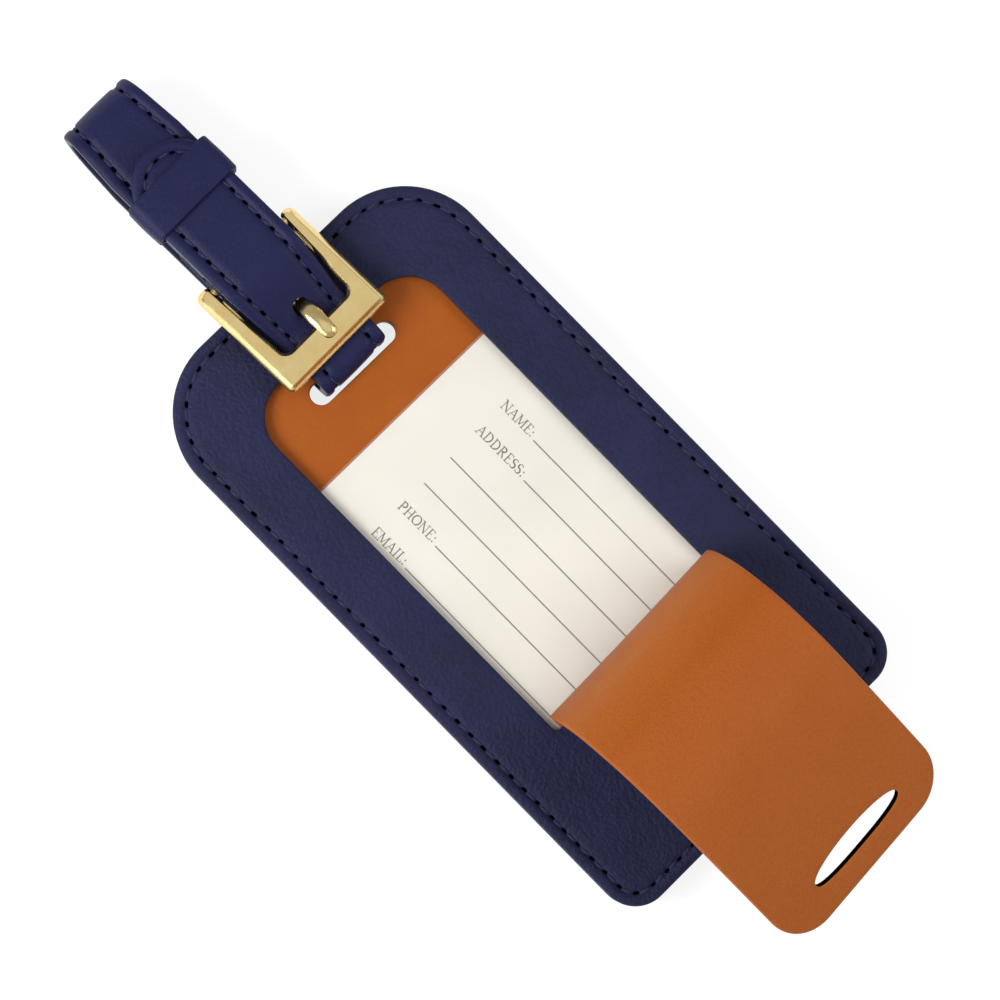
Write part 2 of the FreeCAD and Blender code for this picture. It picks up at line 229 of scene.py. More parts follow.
class Plate:
    """A flat piece between two heights, with an outline, holes, dressed edges and an even skin.

    top and bottom are the edge profiles there, one for the outline and one for the holes. relief raises
    the skin, pits deepens the outline's edge, and ease scales that edge along the outline."""

    def __init__(self, outer, holes, top, bottom, z_top, z_bottom, grid, relief=None, pits=None, ease=None):
        self.points = []
        self.faces = []
        self.side = []
        self.relief = relief
        self.pits = pits
        self.ease = ease(outer) if ease else 1.0
        loops = [(outer, 1)] + [(hole, -1) for hole in holes]
        wall_top = []
        wall_bottom = []
        levels = ((TOP, z_top, top, wall_top), (BOTTOM, z_bottom, bottom, wall_bottom))
        for level, z, profile, walls in levels:
            rims = []
            for index, (loop, sign) in enumerate(loops):
                edge = profile[0] if index == 0 else profile[1]
                rings = self.add_rings(loop, sign, edge, level, z, index)
                walls.append(rings[0])
                rims.append(rings[-1])
            self.add_skin(rims, profile, level, z, grid)
        for (loop, sign), a, b in zip(loops, wall_top, wall_bottom):
            self.bridge(a, b, sign > 0, OUTER_WALL if sign > 0 else HOLE_WALL)

    def height(self, level, z, drop, xy):
        lift = self.relief(xy[0], xy[1], level) if self.relief else 0.0
        return z - level * drop + level * lift

    def add_ring(self, loop, level, z, drops):
        first = len(self.points)
        for xy, drop in zip(loop, drops):
            self.points.append((xy[0], xy[1], self.height(level, z, drop, xy)))
        return list(range(first, len(self.points)))

    def add_rings(self, loop, sign, edge, level, z, index):
        rings = []
        ease = self.ease if index == 0 else 1.0
        for inset, drop in edge:
            moved = inset_loop(loop, sign * inset * ease)
            drops = np.full(len(loop), drop) * ease
            if self.pits and index == 0:
                drops = drops + self.pits(moved, inset, level)
            rings.append(self.add_ring(moved, level, z, drops))
        for a, b in zip(rings, rings[1:]):
            self.bridge(a, b, (sign * level) < 0, level)
        return rings

    def bridge(self, a, b, flip, side):
        n = len(a)
        for i in range(n):
            j = (i + 1) % n
            face = (a[i], a[j], b[j], b[i])
            self.faces.append(face[::-1] if flip else face)
            self.side.append(side)

    def add_skin(self, rims, profile, level, z, grid):
        rim_xy = [np.array([self.points[i][:2] for i in rim]) for rim in rims]
        xs, ys = grid
        gx, gy = np.meshgrid(xs, ys)
        free = np.stack([gx.ravel(), gy.ravel()], axis=1)
        free = free[inside(free, rim_xy[0])]
        for hole in rim_xy[1:]:
            free = free[~inside(free, hole)]
        spacing = min(np.diff(xs).min(), np.diff(ys).min())
        free = away_from(free, rim_xy, spacing * 0.6)
        edge_drop = profile[0][-1][1]
        first = len(self.points)
        for xy in free:
            self.points.append((xy[0], xy[1], self.height(level, z, edge_drop, xy)))
        ids = [i for rim in rims for i in rim] + list(range(first, len(self.points)))
        flat = [Vector(self.points[i][:2]) for i in ids]
        edges = []
        start = 0
        for rim in rims:
            n = len(rim)
            edges += [(start + k, start + (k + 1) % n) for k in range(n)]
            start += n
        verts, _, tris, origin, _, _ = delaunay_2d_cdt(flat, edges, [], 0, 1e-7)
        back = [ids[o[0]] for o in origin]
        corners = np.array([[v.x, v.y] for v in verts])
        middles = np.array([corners[list(t)].mean(axis=0) for t in tris])
        keep = inside(middles, rim_xy[0])
        for hole in rim_xy[1:]:
            keep &= ~inside(middles, hole)
        for t, ok in zip(tris, keep):
            if ok:
                face = tuple(back[i] for i in t)
                self.faces.append(face if level > 0 else face[::-1])
                self.side.append(level)

    def mesh(self, name, materials, shape=None, pick=None):
        """The plate as an object. shape maps (x, y, z) in mm, and pick gives each side's material."""
        flat = self.points
        solid = [shape(*p) for p in flat] if shape else flat
        return new_mesh(name, solid, self.faces, materials, flat, pick and [pick[s] for s in self.side])


def new_mesh(name, points, faces, materials, flat=None, picks=None, smooth_angle=50):
    mesh = bpy.data.meshes.new(name)
    mesh.from_pydata([Vector(p) * MM for p in points], [], faces)
    mesh.validate()
    if flat is not None:
        layer = mesh.uv_layers.new(name="Leather")
        uv = [(p[0] * 0.01, p[1] * 0.01) for p in flat]
        for loop in mesh.loops:
            layer.data[loop.index].uv = uv[loop.vertex_index]
    for m in materials:
        mesh.materials.append(m)
    if picks:
        mesh.polygons.foreach_set("material_index", picks)
    mesh.shade_smooth()
    mesh.set_sharp_from_angle(angle=math.radians(smooth_angle))
    obj = bpy.data.objects.new(name, mesh)
    bpy.context.scene.collection.objects.link(obj)
    return obj


def stitch_pits(ring_inset, pitch_count, depth, levels=(1,)):
    """Deepens the sewn channel where the needle went through, as a function for Plate."""

    def pits(loop, inset, level):
        near = max(0.0, 1 - abs(inset - ring_inset) / 0.45)
        if near == 0.0 or level not in levels:
            return np.zeros(len(loop))
        turn = loop_phase(loop)
        wave = np.abs(np.cos(turn * pitch_count * math.pi))
        return depth * near * np.clip((wave - 0.8) / 0.2, 0, 1)

    return pits


def loop_phase(loop):
    """Each point's share of the way round a closed outline."""
    gaps = np.linalg.norm(np.roll(loop, -1, axis=0) - loop, axis=1)
    return np.concatenate([[0], np.cumsum(gaps)[:-1]]) / gaps.sum()


def len_of(loop):
    return np.linalg.norm(np.roll(loop, -1, axis=0) - loop, axis=1).sum()


# ---------------------------------------------------------------- stitches

STITCH_SHARE = 0.66


def thread_shape():
    """One stitch along X: a flattened, round-ended bead of two twisted strands."""
    points = []
    rows, around = 9, 8
    for i in range(rows):
        t = -1 + 2 * i / (rows - 1)
        r = math.sqrt(max(0.0, 1 - abs(t) ** 3.5)) * (1 + 0.10 * math.cos(t * 9))
        for k in range(around):
            a = 2 * math.pi * k / around
            points.append((t, r * math.cos(a), r * math.sin(a)))
    faces = []
    for i in range(rows - 1):
        for k in range(around):
            j = (k + 1) % around
            faces.append((i * around + k, i * around + j, (i + 1) * around + j, (i + 1) * around + k))
    return points, faces


def sew(name, places, holes, length, width, height, material):
    """Stitches at (position, direction, normal) places, with near-black beads of painted shade at the needle
    holes between them.
    """
    shape, shape_faces = thread_shape()
    points = []
    faces = []
    picks = []
    for position, direction, normal in places:
        direction = direction / np.linalg.norm(direction)
        side = np.cross(normal, direction)
        slant = 0.11 + RNG.uniform(-0.05, 0.05)
        heading = direction * math.cos(slant) + side * math.sin(slant)
        across = np.cross(normal, heading)
        long = length / 2 * RNG.uniform(0.95, 1.03)
        base = len(points)
        for t, u, v in shape:
            sag = -height * 0.5 * t**4
            spot = position + heading * t * long + across * u * width / 2 + normal * (v * height / 2 + sag)
            points.append(tuple(spot))
        faces += [tuple(base + i for i in f) for f in shape_faces]
        picks += [0] * len(shape_faces)
    # Each needle hole is a small near-black bead: painted shade where the hole is.
    for position, direction, normal in holes:
        direction = direction / np.linalg.norm(direction)
        side = np.cross(normal, direction)
        base = len(points)
        reach, half = width * RNG.uniform(0.7, 1.1), width * RNG.uniform(0.45, 0.68)
        spot = position + direction * RNG.uniform(-0.2, 0.2) + side * RNG.uniform(-0.1, 0.1)
        for t, u, v in shape:
            points.append(tuple(spot + direction * t * reach + side * u * half + normal * v * 0.12))
        faces += [tuple(base + i for i in f) for f in shape_faces]
        picks += [1] * len(shape_faces)
    return new_mesh(name, points, faces, [material, HOLE_SHADE], None, picks)


def loop_places(loop, count, z, normal, phase_share=0.5):
    """Evenly spaced places round a closed outline: 0.5 for the stitches, 0 for the needle holes between."""
    closed = np.vstack([loop, loop[:1]])
    phase = np.append(loop_phase(loop), 1.0)
    places = []
    for i in range(count):
        share = (i + phase_share) / count
        x, y = (np.interp(share, phase, closed[:, k]) for k in (0, 1))
        ahead = [np.interp((share + 0.001) % 1, phase, closed[:, k]) for k in (0, 1)]
        behind = [np.interp((share - 0.001) % 1, phase, closed[:, k]) for k in (0, 1)]
        direction = np.array([ahead[0] - behind[0], ahead[1] - behind[1], 0.0])
        places.append((np.array([x, y, z]), direction, np.array(normal, float)))
    return places


# ---------------------------------------------------------------- bent strips


class Bend:
    """A curve in the YZ plane, given by its heading at each step of arc length."""

    def __init__(self, start, headings, step):
        self.step = step
        middle = (headings[1:] + headings[:-1]) / 2
        y = start[0] + np.concatenate([[0], np.cumsum(np.cos(middle) * step)])
        z = start[1] + np.concatenate([[0], np.cumsum(np.sin(middle) * step)])
        self.s = np.arange(len(headings)) * step
        self.y, self.z, self.heading = y, z, headings

    def at(self, s):
        y = np.interp(s, self.s, self.y)
        z = np.interp(s, self.s, self.z)
        return y, z, np.interp(s, self.s, self.heading)

    def place(self, x, s, h):
        """The point at x across, s along and h to the left of the curve."""
        y, z, a = self.at(s)
        return (x, y - h * math.sin(a), z + h * math.cos(a))


def fillet_bend(points, radii, step=0.05, soften=9):
    """A Bend along straight runs joined by arcs, its turns slightly eased in and out."""
    points = [np.array(p, float) for p in points]
    heads = [math.atan2(*(b - a)[::-1]) for a, b in zip(points, points[1:])]
    turns = [(h1 - h0 + math.pi) % (2 * math.pi) - math.pi for h0, h1 in zip(heads, heads[1:])]
    cuts = [r * math.tan(abs(t) / 2) for r, t in zip(radii, turns)]
    headings = []
    heading = heads[0]
    before = 0.0
    for i, (a, b) in enumerate(zip(points, points[1:])):
        after = cuts[i] if i < len(cuts) else 0.0
        run = max(0.0, np.linalg.norm(b - a) - before - after)
        headings += [heading] * max(1, round(run / step))
        if i < len(turns):
            arc = max(2, round(abs(turns[i]) * radii[i] / step))
            headings += [heading + turns[i] * (k + 0.5) / arc for k in range(arc)]
            heading += turns[i]
        before = after
    headings = np.array(headings)
    kernel = np.ones(soften) / soften
    padded = np.concatenate([[headings[0]] * soften, headings, [headings[-1]] * soften])
    headings = np.convolve(padded, kernel, mode="same")[soften:-soften]
    return Bend(points[0], headings, step)


def turned(point):
    """A point of the strap, turned with the strap about the middle of the tag's slot."""
    x, y, z = point
    y -= SLOT_Y
    c, s = math.cos(YAW), math.sin(YAW)
    return (c * x - s * y, SLOT_Y + s * x + c * y, z)


def turned_direction(d):
    c, s = math.cos(YAW), math.sin(YAW)
    return np.array([c * d[0] - s * d[1], s * d[0] + c * d[1], d[2]])


# ---------------------------------------------------------------- materials


class Nodes:
    """A small helper that builds one material's nodes."""

    def __init__(self, name):
        self.material = bpy.data.materials.new(name)
        self.material.use_nodes = True
        self.tree = self.material.node_tree
        self.shader = self.tree.nodes["Principled BSDF"]

    def add(self, kind, **values):
        node = self.tree.nodes.new(kind)
        for key, value in values.items():
            if key in node.inputs.keys():
                node.inputs[key].default_value = value
            else:
                setattr(node, key, value)
        return node

    def link(self, a, b):
        self.tree.links.new(a, b)

    def feed(self, name, value):
        """Links a value to the shader's input of that name."""
        self.link(value, self.shader.inputs[name])

    def set(self, **values):
        for key, value in values.items():
            self.shader.inputs[key.replace("_", " ")].default_value = value

    def coordinates(self, scale, uv=True):
        """Position in units of mm: along the leather, or in space for solid things."""
        source = self.add("ShaderNodeTexCoord")
        mapping = self.add("ShaderNodeMapping")
        mapping.inputs["Scale"].default_value = (scale, scale, scale)
        self.link(source.outputs["UV" if uv else "Object"], mapping.inputs["Vector"])
        return mapping.outputs["Vector"]

    def noise(self, vector, scale, detail=2.0, roughness=0.5):
        node = self.add("ShaderNodeTexNoise", Scale=scale, Detail=detail, Roughness=roughness)
        self.link(vector, node.inputs["Vector"])
        return node.outputs["Fac"]

    def cells(self, vector, scale, feature="F1", randomness=1.0):
        node = self.add("ShaderNodeTexVoronoi", feature=feature, Scale=scale, Randomness=randomness)
        self.link(vector, node.inputs["Vector"])
        return node.outputs["Distance"]

    def ramp(self, factor, stops):
        node = self.add("ShaderNodeValToRGB")
        while len(node.color_ramp.elements) < len(stops):
            node.color_ramp.elements.new(0.5)
        for element, (place, colour) in zip(node.color_ramp.elements, stops):
            element.position = place
            element.color = (*colour, 1) if len(colour) == 3 else colour
        self.link(factor, node.inputs["Fac"])
        return node.outputs["Color"]

    def span(self, factor, low, high):
        node = self.add("ShaderNodeMapRange")
        node.inputs["To Min"].default_value = low
        node.inputs["To Max"].default_value = high
        self.link(factor, node.inputs["Value"])
        return node.outputs["Result"]

    def math(self, operation, a, b):
        node = self.add("ShaderNodeMath", operation=operation)
        for socket, value in zip(node.inputs, (a, b)):
            if isinstance(value, (int, float)):
                socket.default_value = value
            else:
                self.link(value, socket)
        return node.outputs["Value"]

    def split(self, vector):
        node = self.add("ShaderNodeSeparateXYZ")
        self.link(vector, node.inputs["Vector"])
        return node.outputs

    def times(self, a, b):
        node = self.add("ShaderNodeVectorMath", operation="MULTIPLY")
        self.link(a, node.inputs[0])
        self.link(b, node.inputs[1])
        return node.outputs["Vector"]

    def bump(self, height, strength, distance):
        node = self.add("ShaderNodeBump", Strength=strength)
        node.inputs["Distance"].default_value = distance
        self.link(height, node.inputs["Height"])
        if self.shader.inputs["Normal"].is_linked:
            self.link(self.shader.inputs["Normal"].links[0].from_socket, node.inputs["Normal"])
        self.link(node.outputs["Normal"], self.shader.inputs["Normal"])


UV_PER_MM = 100.0
PAINTED_BANDS_LENGTH = 90.0
# Painted highlight and shade along the flap: colour factors at shares of its length, a lighter band along
# the curl and then a darker, more saturated one.
FLAP_PAINTED_LIGHT_BANDS = [
    (0.0, (0.93, 0.84, 0.8)), (0.14, (0.93, 0.84, 0.8)), (0.225, (1, 1, 1)),
    (0.35, (0.84, 0.68, 0.25)), (0.52, (0.92, 0.82, 0.74)), (1.0, (0.9, 0.81, 0.72)),
]


def grained_leather(name, dark, light, rough, grain_mm, grain_depth, mottle=0.5, sheen=0.0, painted_light_bands=None):
    """Leather with a pebbled grain of that size and cloudy colour, with painted highlight and shade bands
    along its length if asked.
    """
    m = Nodes(name)
    v = m.coordinates(UV_PER_MM)
    clouds = m.noise(v, 0.06, 4.0, 0.6)
    warp = m.noise(v, 1 / (grain_mm * 2.5), 2.0)
    pebble = m.cells(v, 1 / grain_mm, "SMOOTH_F1")
    fine = m.noise(v, 3.2 / grain_mm, 3.0, 0.65)
    tone = m.math("ADD", m.math("MULTIPLY", clouds, 1 - mottle), m.math("MULTIPLY", fine, mottle))
    tone = m.math("SUBTRACT", tone, m.math("MULTIPLY", pebble, 0.25 * mottle))
    colour = m.ramp(tone, [(0.3, dark), (0.68, light)])
    if painted_light_bands:
        # Multiplies in the painted highlight and shade bands along the leather's length.
        colour = m.times(colour, m.ramp(m.math("DIVIDE", m.split(v)["Y"], PAINTED_BANDS_LENGTH), painted_light_bands))
    m.feed("Base Color", colour)
    height = m.math("ADD", m.math("MULTIPLY", pebble, -0.9), m.math("MULTIPLY", fine, 0.5))
    height = m.math("ADD", height, m.math("MULTIPLY", warp, 0.6))
    m.bump(height, 1.0, grain_depth * MM)
    m.feed("Roughness", m.span(m.math("ADD", fine, clouds), rough - 0.08, rough + 0.1))
    m.set(Specular_IOR_Level=0.2, Sheen_Weight=sheen)
    return m.material


def noise_finish(name, waves, stops, bump=None, rough=None, **values):
    """A solid thing's material: one noise, given by its settings, drives colour, bumps and roughness."""
    m = Nodes(name)
    wave = m.noise(m.coordinates(1 / MM, uv=False), *waves)
    m.feed("Base Color", m.ramp(wave, stops))
    if bump:
        strength, depth = bump
        m.bump(wave, strength, depth * MM)
    if rough:
        m.feed("Roughness", m.span(wave, *rough))
    m.set(**values)
    return m.material


def edge_paint_and_shade(name, colour, rough=0.4, shine=0.4):
    """The painted cut edge of leather, also used for the painted shade in needle holes: smooth, a little
    uneven.
    """
    light = tuple(min(1.0, c * 1.35) for c in colour)
    stops = [(0.3, colour), (0.75, light)]
    span = (rough - 0.1, rough + 0.12)
    return noise_finish(name, (0.9, 3.0, 0.6), stops, (0.6, 0.05), span, Specular_IOR_Level=shine)


def thread_material():
    m = Nodes("navy thread")
    twist = m.add("ShaderNodeTexWave", Scale=1.3, Distortion=1.5)
    m.link(m.coordinates(1 / MM, uv=False), twist.inputs["Vector"])
    strands = twist.outputs["Fac"]
    m.feed("Base Color", m.ramp(strands, [(0.2, (0.012, 0.014, 0.042)), (0.8, (0.03, 0.034, 0.095))]))
    m.bump(strands, 0.8, 0.06 * MM)
    m.set(Roughness=0.62, Specular_IOR_Level=0.3)
    return m.material


def card_paper():
    m = Nodes("card paper")
    v = m.coordinates(UV_PER_MM)
    fibre = m.noise(v, 2.4, 5.0, 0.7)
    tone = m.noise(v, 0.05, 2.0)
    m.feed("Base Color", m.ramp(tone, [(0.3, (0.745, 0.71, 0.625)), (0.7, (0.80, 0.765, 0.68))]))
    m.bump(fibre, 0.35, 0.02 * MM)
    m.feed("Roughness", m.span(fibre, 0.62, 0.8))
    return m.material


def clear_film():
    """Thin clear plastic: mostly see-through, with a glossy, faintly rippled face."""
    m = Nodes("clear film")
    v = m.coordinates(UV_PER_MM)
    ripple = m.noise(v, 0.05, 2.0)
    haze = m.noise(v, 0.4, 3.0)
    m.feed("Base Color", m.ramp(haze, [(0.3, (0.9, 0.91, 0.92)), (0.7, (0.97, 0.97, 0.98))]))
    m.bump(ripple, 0.25, 0.3 * MM)
    m.feed("Roughness", m.span(haze, 0.06, 0.14))
    m.set(Alpha=0.07, IOR=1.5)
    return m.material


def polished_gold():
    m = Nodes("polished gold")
    v = m.coordinates(1 / MM, uv=False)
    smear = m.noise(v, 0.35, 3.0)
    fine = m.noise(v, 14.0, 2.0)
    m.feed("Base Color", m.ramp(smear, [(0.3, (0.80, 0.59, 0.24)), (0.75, (0.88, 0.70, 0.34))]))
    m.feed("Roughness", m.span(m.math("ADD", smear, m.math("MULTIPLY", fine, 0.4)), 0.10, 0.24))
    m.bump(fine, 0.08, 0.01 * MM)
    m.set(Metallic=1.0)
    return m.material


NAVY = grained_leather(
    "navy leather", (0.0065, 0.008, 0.034), (0.0175, 0.0205, 0.078), 0.45, 0.6, 0.18, sheen=0.08
)
STRAP_SKIN = grained_leather(
    "strap leather", (0.007, 0.0085, 0.043), (0.0145, 0.017, 0.078), 0.42, 0.42, 0.06
)
LINING = grained_leather("lining leather", (0.008, 0.009, 0.03), (0.014, 0.016, 0.048), 0.6, 0.3, 0.03)
TAN = grained_leather("tan leather", (0.32, 0.069, 0.0045), (0.415, 0.106, 0.009), 0.48, 0.3, 0.03)
FLAP_SKIN = grained_leather(
    "flap leather", (0.373, 0.098, 0.0112), (0.497, 0.15, 0.0238), 0.44, 0.34, 0.08,
    mottle=0.8, sheen=0.03, painted_light_bands=FLAP_PAINTED_LIGHT_BANDS,
)
NAVY_EDGE = edge_paint_and_shade("navy edge paint", (0.008, 0.009, 0.026))
TAN_EDGE = edge_paint_and_shade("tan edge paint", (0.16, 0.045, 0.012))
# The flap slot's wall: near-black and matte.
BLACK_SLOT_WALL = edge_paint_and_shade("black slot wall", (0.001, 0.0008, 0.001), 0.8, 0.0)
# Painted shade for the needle holes: near-black and matte.
HOLE_SHADE = edge_paint_and_shade("needle hole shade", (0.0006, 0.0007, 0.0022), 0.8, 0.0)
THREAD = thread_material()
PAPER = card_paper()
INK = noise_finish(
    "print ink", (3.0, 3.0), [(0.2, (0.09, 0.08, 0.06)), (0.8, (0.2, 0.18, 0.14))], (0.2, 0.01),
    Roughness=0.7,
)
FILM = clear_film()
FILM_EDGE = noise_finish(
    "clear film edge", (0.7, 2.0), [(0.3, (0.3, 0.29, 0.27)), (0.7, (0.5, 0.49, 0.46))], (0.2, 0.02),
    Roughness=0.12, Alpha=0.75,
)
GOLD = polished_gold()
BOARD = noise_finish(
    "stiff board", (1.8, 5.0, 0.7), [(0.3, (0.16, 0.12, 0.08)), (0.7, (0.3, 0.23, 0.16))], (0.5, 0.05),
    Roughness=0.85,
)
STEEL = noise_finish(
    "staple steel", (3.0, 2.0), [(0.3, (0.5, 0.5, 0.52)), (0.7, (0.66, 0.66, 0.68))], (0.2, 0.02),
    Metallic=1.0, Roughness=0.3,
)

# ---------------------------------------------------------------- the tag's body


def body_outline(inset=0.0, step=0.6):
    w = BODY_HIGH[0] - inset
    l = BODY_HIGH[1] - inset
    low, high = BOTTOM_CORNER_R - inset, TOP_CORNER_R - inset
    return box_loop(-w, w, -l, l, low, high, step)


def window_outline():
    w = WINDOW_HALF_W
    return box_loop(-w, w, WINDOW_LOW_Y, WINDOW_TOP_Y, WINDOW_LOW_R, WINDOW_R, 0.6)


def even_grid(low, high, step):
    return tuple(np.arange(a + step / 2, b, step) for a, b in zip(low[:2], high[:2]))


def soft_waves(amount, size, seed):
    def relief(x, y, level):
        return amount * noise.noise(Vector((x / size, y / size, seed + level)))

    return relief


def border_seam():
    """The line of the border stitching, and how many stitches go round it."""
    seam = inset_loop(body_outline(), STITCH_INSET)
    return seam, round(len_of(seam) / BODY_PITCH)


def sew_border(name, node, z, hole_z, normal):
    """The stitches round one face of the body, with their middles at z and the painted shade of the needle
    holes at hole_z.
    """
    seam, count = border_seam()
    places = loop_places(seam, count, z, normal)
    holes = loop_places(seam, count, hole_z, normal, 0)
    stitches = sew(name, places, holes, BODY_PITCH * STITCH_SHARE, 0.62, 0.46, THREAD)
    finish_piece(stitches, "tag_body", "navy_thread", node)


def make_front_frame():
    plate = Plate(
        body_outline(),
        [window_outline()],
        (sewn_edge(0.4, STITCH_INSET, 0.3, 0.12), plain_edge(0.42)),
        (plain_edge(0.12, 2), plain_edge(0.12, 2)),
        TOP_Z,
        FRAME_Z,
        even_grid(BODY_LOW, BODY_HIGH, 2.0),
        soft_waves(0.07, 14.0, 3.0),
        stitch_pits(STITCH_INSET, border_seam()[1], 0.28),
    )
    piece = plate.mesh("front_frame_leather", [NAVY, NAVY_EDGE], pick=SKIN_AND_EDGE)
    finish_piece(piece, "tag_body", "navy_leather", "front_frame")
    sew_border("front_stitches", "front_thread", TOP_Z - 0.24, TOP_Z - 0.26, (0, 0, 1))


def make_back_panel():
    plate = Plate(
        body_outline(),
        [stadium_loop(0, SLOT_Y, SLOT_L, SLOT_W, 0.5)],
        (plain_edge(0.12, 2), plain_edge(0.12, 2)),
        (sewn_edge(0.4, STITCH_INSET, 0.2, 0.0), plain_edge(0.3)),
        BACK_TOP_Z,
        0.0,
        even_grid(BODY_LOW, BODY_HIGH, 2.4),
        None,
        stitch_pits(STITCH_INSET, border_seam()[1], 0.28, (BOTTOM,)),
    )
    piece = plate.mesh("back_panel_leather", [NAVY, NAVY_EDGE], pick=SKIN_AND_EDGE)
    finish_piece(piece, "tag_body", "navy_leather", "back_panel")
    sew_border("back_stitches", "back_thread", 0.16, 0.2, (0, 0, -1))


def make_painted_edge():
    """The paint that closes the plies between the back panel and the front frame."""
    edges = (plain_edge(0.15, 2), plain_edge(0.05, 1))
    plate = Plate(
        body_outline(0.1),
        [body_outline(1.4)],
        edges,
        edges,
        FRAME_Z + 0.05,
        BACK_TOP_Z - 0.05,
        even_grid(BODY_LOW, BODY_HIGH, 4.0),
    )
    piece = plate.mesh("painted_edge", [NAVY_EDGE])
    finish_piece(piece, "tag_body", "navy_leather")


def make_insert():
    w, l = INSERT_HIGH[0], INSERT_HIGH[1]
    low, high = BOTTOM_CORNER_R - INSERT_GAP, TOP_CORNER_R - INSERT_GAP
    outline = box_loop(-w, w, -l, l, low, high, 1.5)
    waves = soft_waves(0.05, 9.0, 8.0)
    plate = Plate(
        outline,
        [stadium_loop(0, SLOT_Y, SLOT_L, SLOT_W, 0.35)],
        (plain_edge(0.1, 2), plain_edge(0.3, 4)),
        (plain_edge(0.1, 2), plain_edge(0.1, 2)),
        INSERT_HIGH[2],
        INSERT_LOW[2],
        even_grid(INSERT_LOW, INSERT_HIGH, 2.0),
        lambda x, y, level: waves(x, y, level) if level == TOP else 0.0,
    )
    piece = plate.mesh("insert_leather", [TAN, TAN_EDGE], pick=SKIN_AND_EDGE)
    finish_piece(piece, "tag_body", "tan_leather", "insert_panel")


def finish_piece(piece, body, slot_name, *nodes):
    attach(piece, body)
    if nodes:
        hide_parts(*nodes)


# ---------------------------------------------------------------- the card and its clear cover


def make_card():
    w, low, high, r = CARD_HIGH[0], CARD_LOW[1], CARD_HIGH[1], 1.5
    outline = box_loop(-w, w, low, high, r, r, 1.5)
    edge = plain_edge(0.06, 2)
    plate = Plate(
        outline, [], (edge, edge), (edge, edge), CARD_HIGH[2], CARD_LOW[2],
        even_grid(CARD_LOW, CARD_HIGH, 5.0),
    )
    piece = plate.mesh("printed_card", [PAPER])
    finish_piece(piece, "card", "card_paper", "address_card")


def make_clear_cover():
    w, low, high = SHEET_HIGH[0], SHEET_LOW[1], SHEET_HIGH[1]
    outline = box_loop(-w, w, low, high, 5.0, 1.0, 1.5)
    edge = plain_edge(0.08, 2)
    plate = Plate(
        outline, [], (edge, edge), (edge, edge), SHEET_HIGH[2], SHEET_LOW[2],
        even_grid(SHEET_LOW, SHEET_HIGH, 4.0),
    )
    piece = plate.mesh("clear_cover", [FILM, FILM_EDGE], pick=SKIN_AND_EDGE)
    finish_piece(piece, "tag_body", "clear_film", "clear_window")


RULES = [(13.4, 10.1), (7.1, 6.2), (0.6, 18.3), (-6.0, 18.3), (-12.5, 8.9), (-19.1, 9.8)]
RULE_END_Y = -50.0
LABELS = {"NAME:": 13.4, "ADDRESS:": 7.1, "PHONE:": -12.5, "EMAIL:": -19.1}
LABEL_Y = 18.7
LETTER_PITCH = 2.1
CAP_HEIGHT = 1.8
HAIR, STEM = 0.07, 0.135


def bow(cx, cy, rx, ry, start, end, steps=10):
    turns = [math.radians(start + (end - start) * k / steps) for k in range(steps + 1)]
    return [(cx + rx * math.cos(a), cy + ry * math.sin(a)) for a in turns]


def foot(x, y, half=0.13):
    return (HAIR, [(x - half, y), (x + half, y)])


def hair(*points):
    return (HAIR, list(points))


def stem(*points):
    return (STEM, list(points))


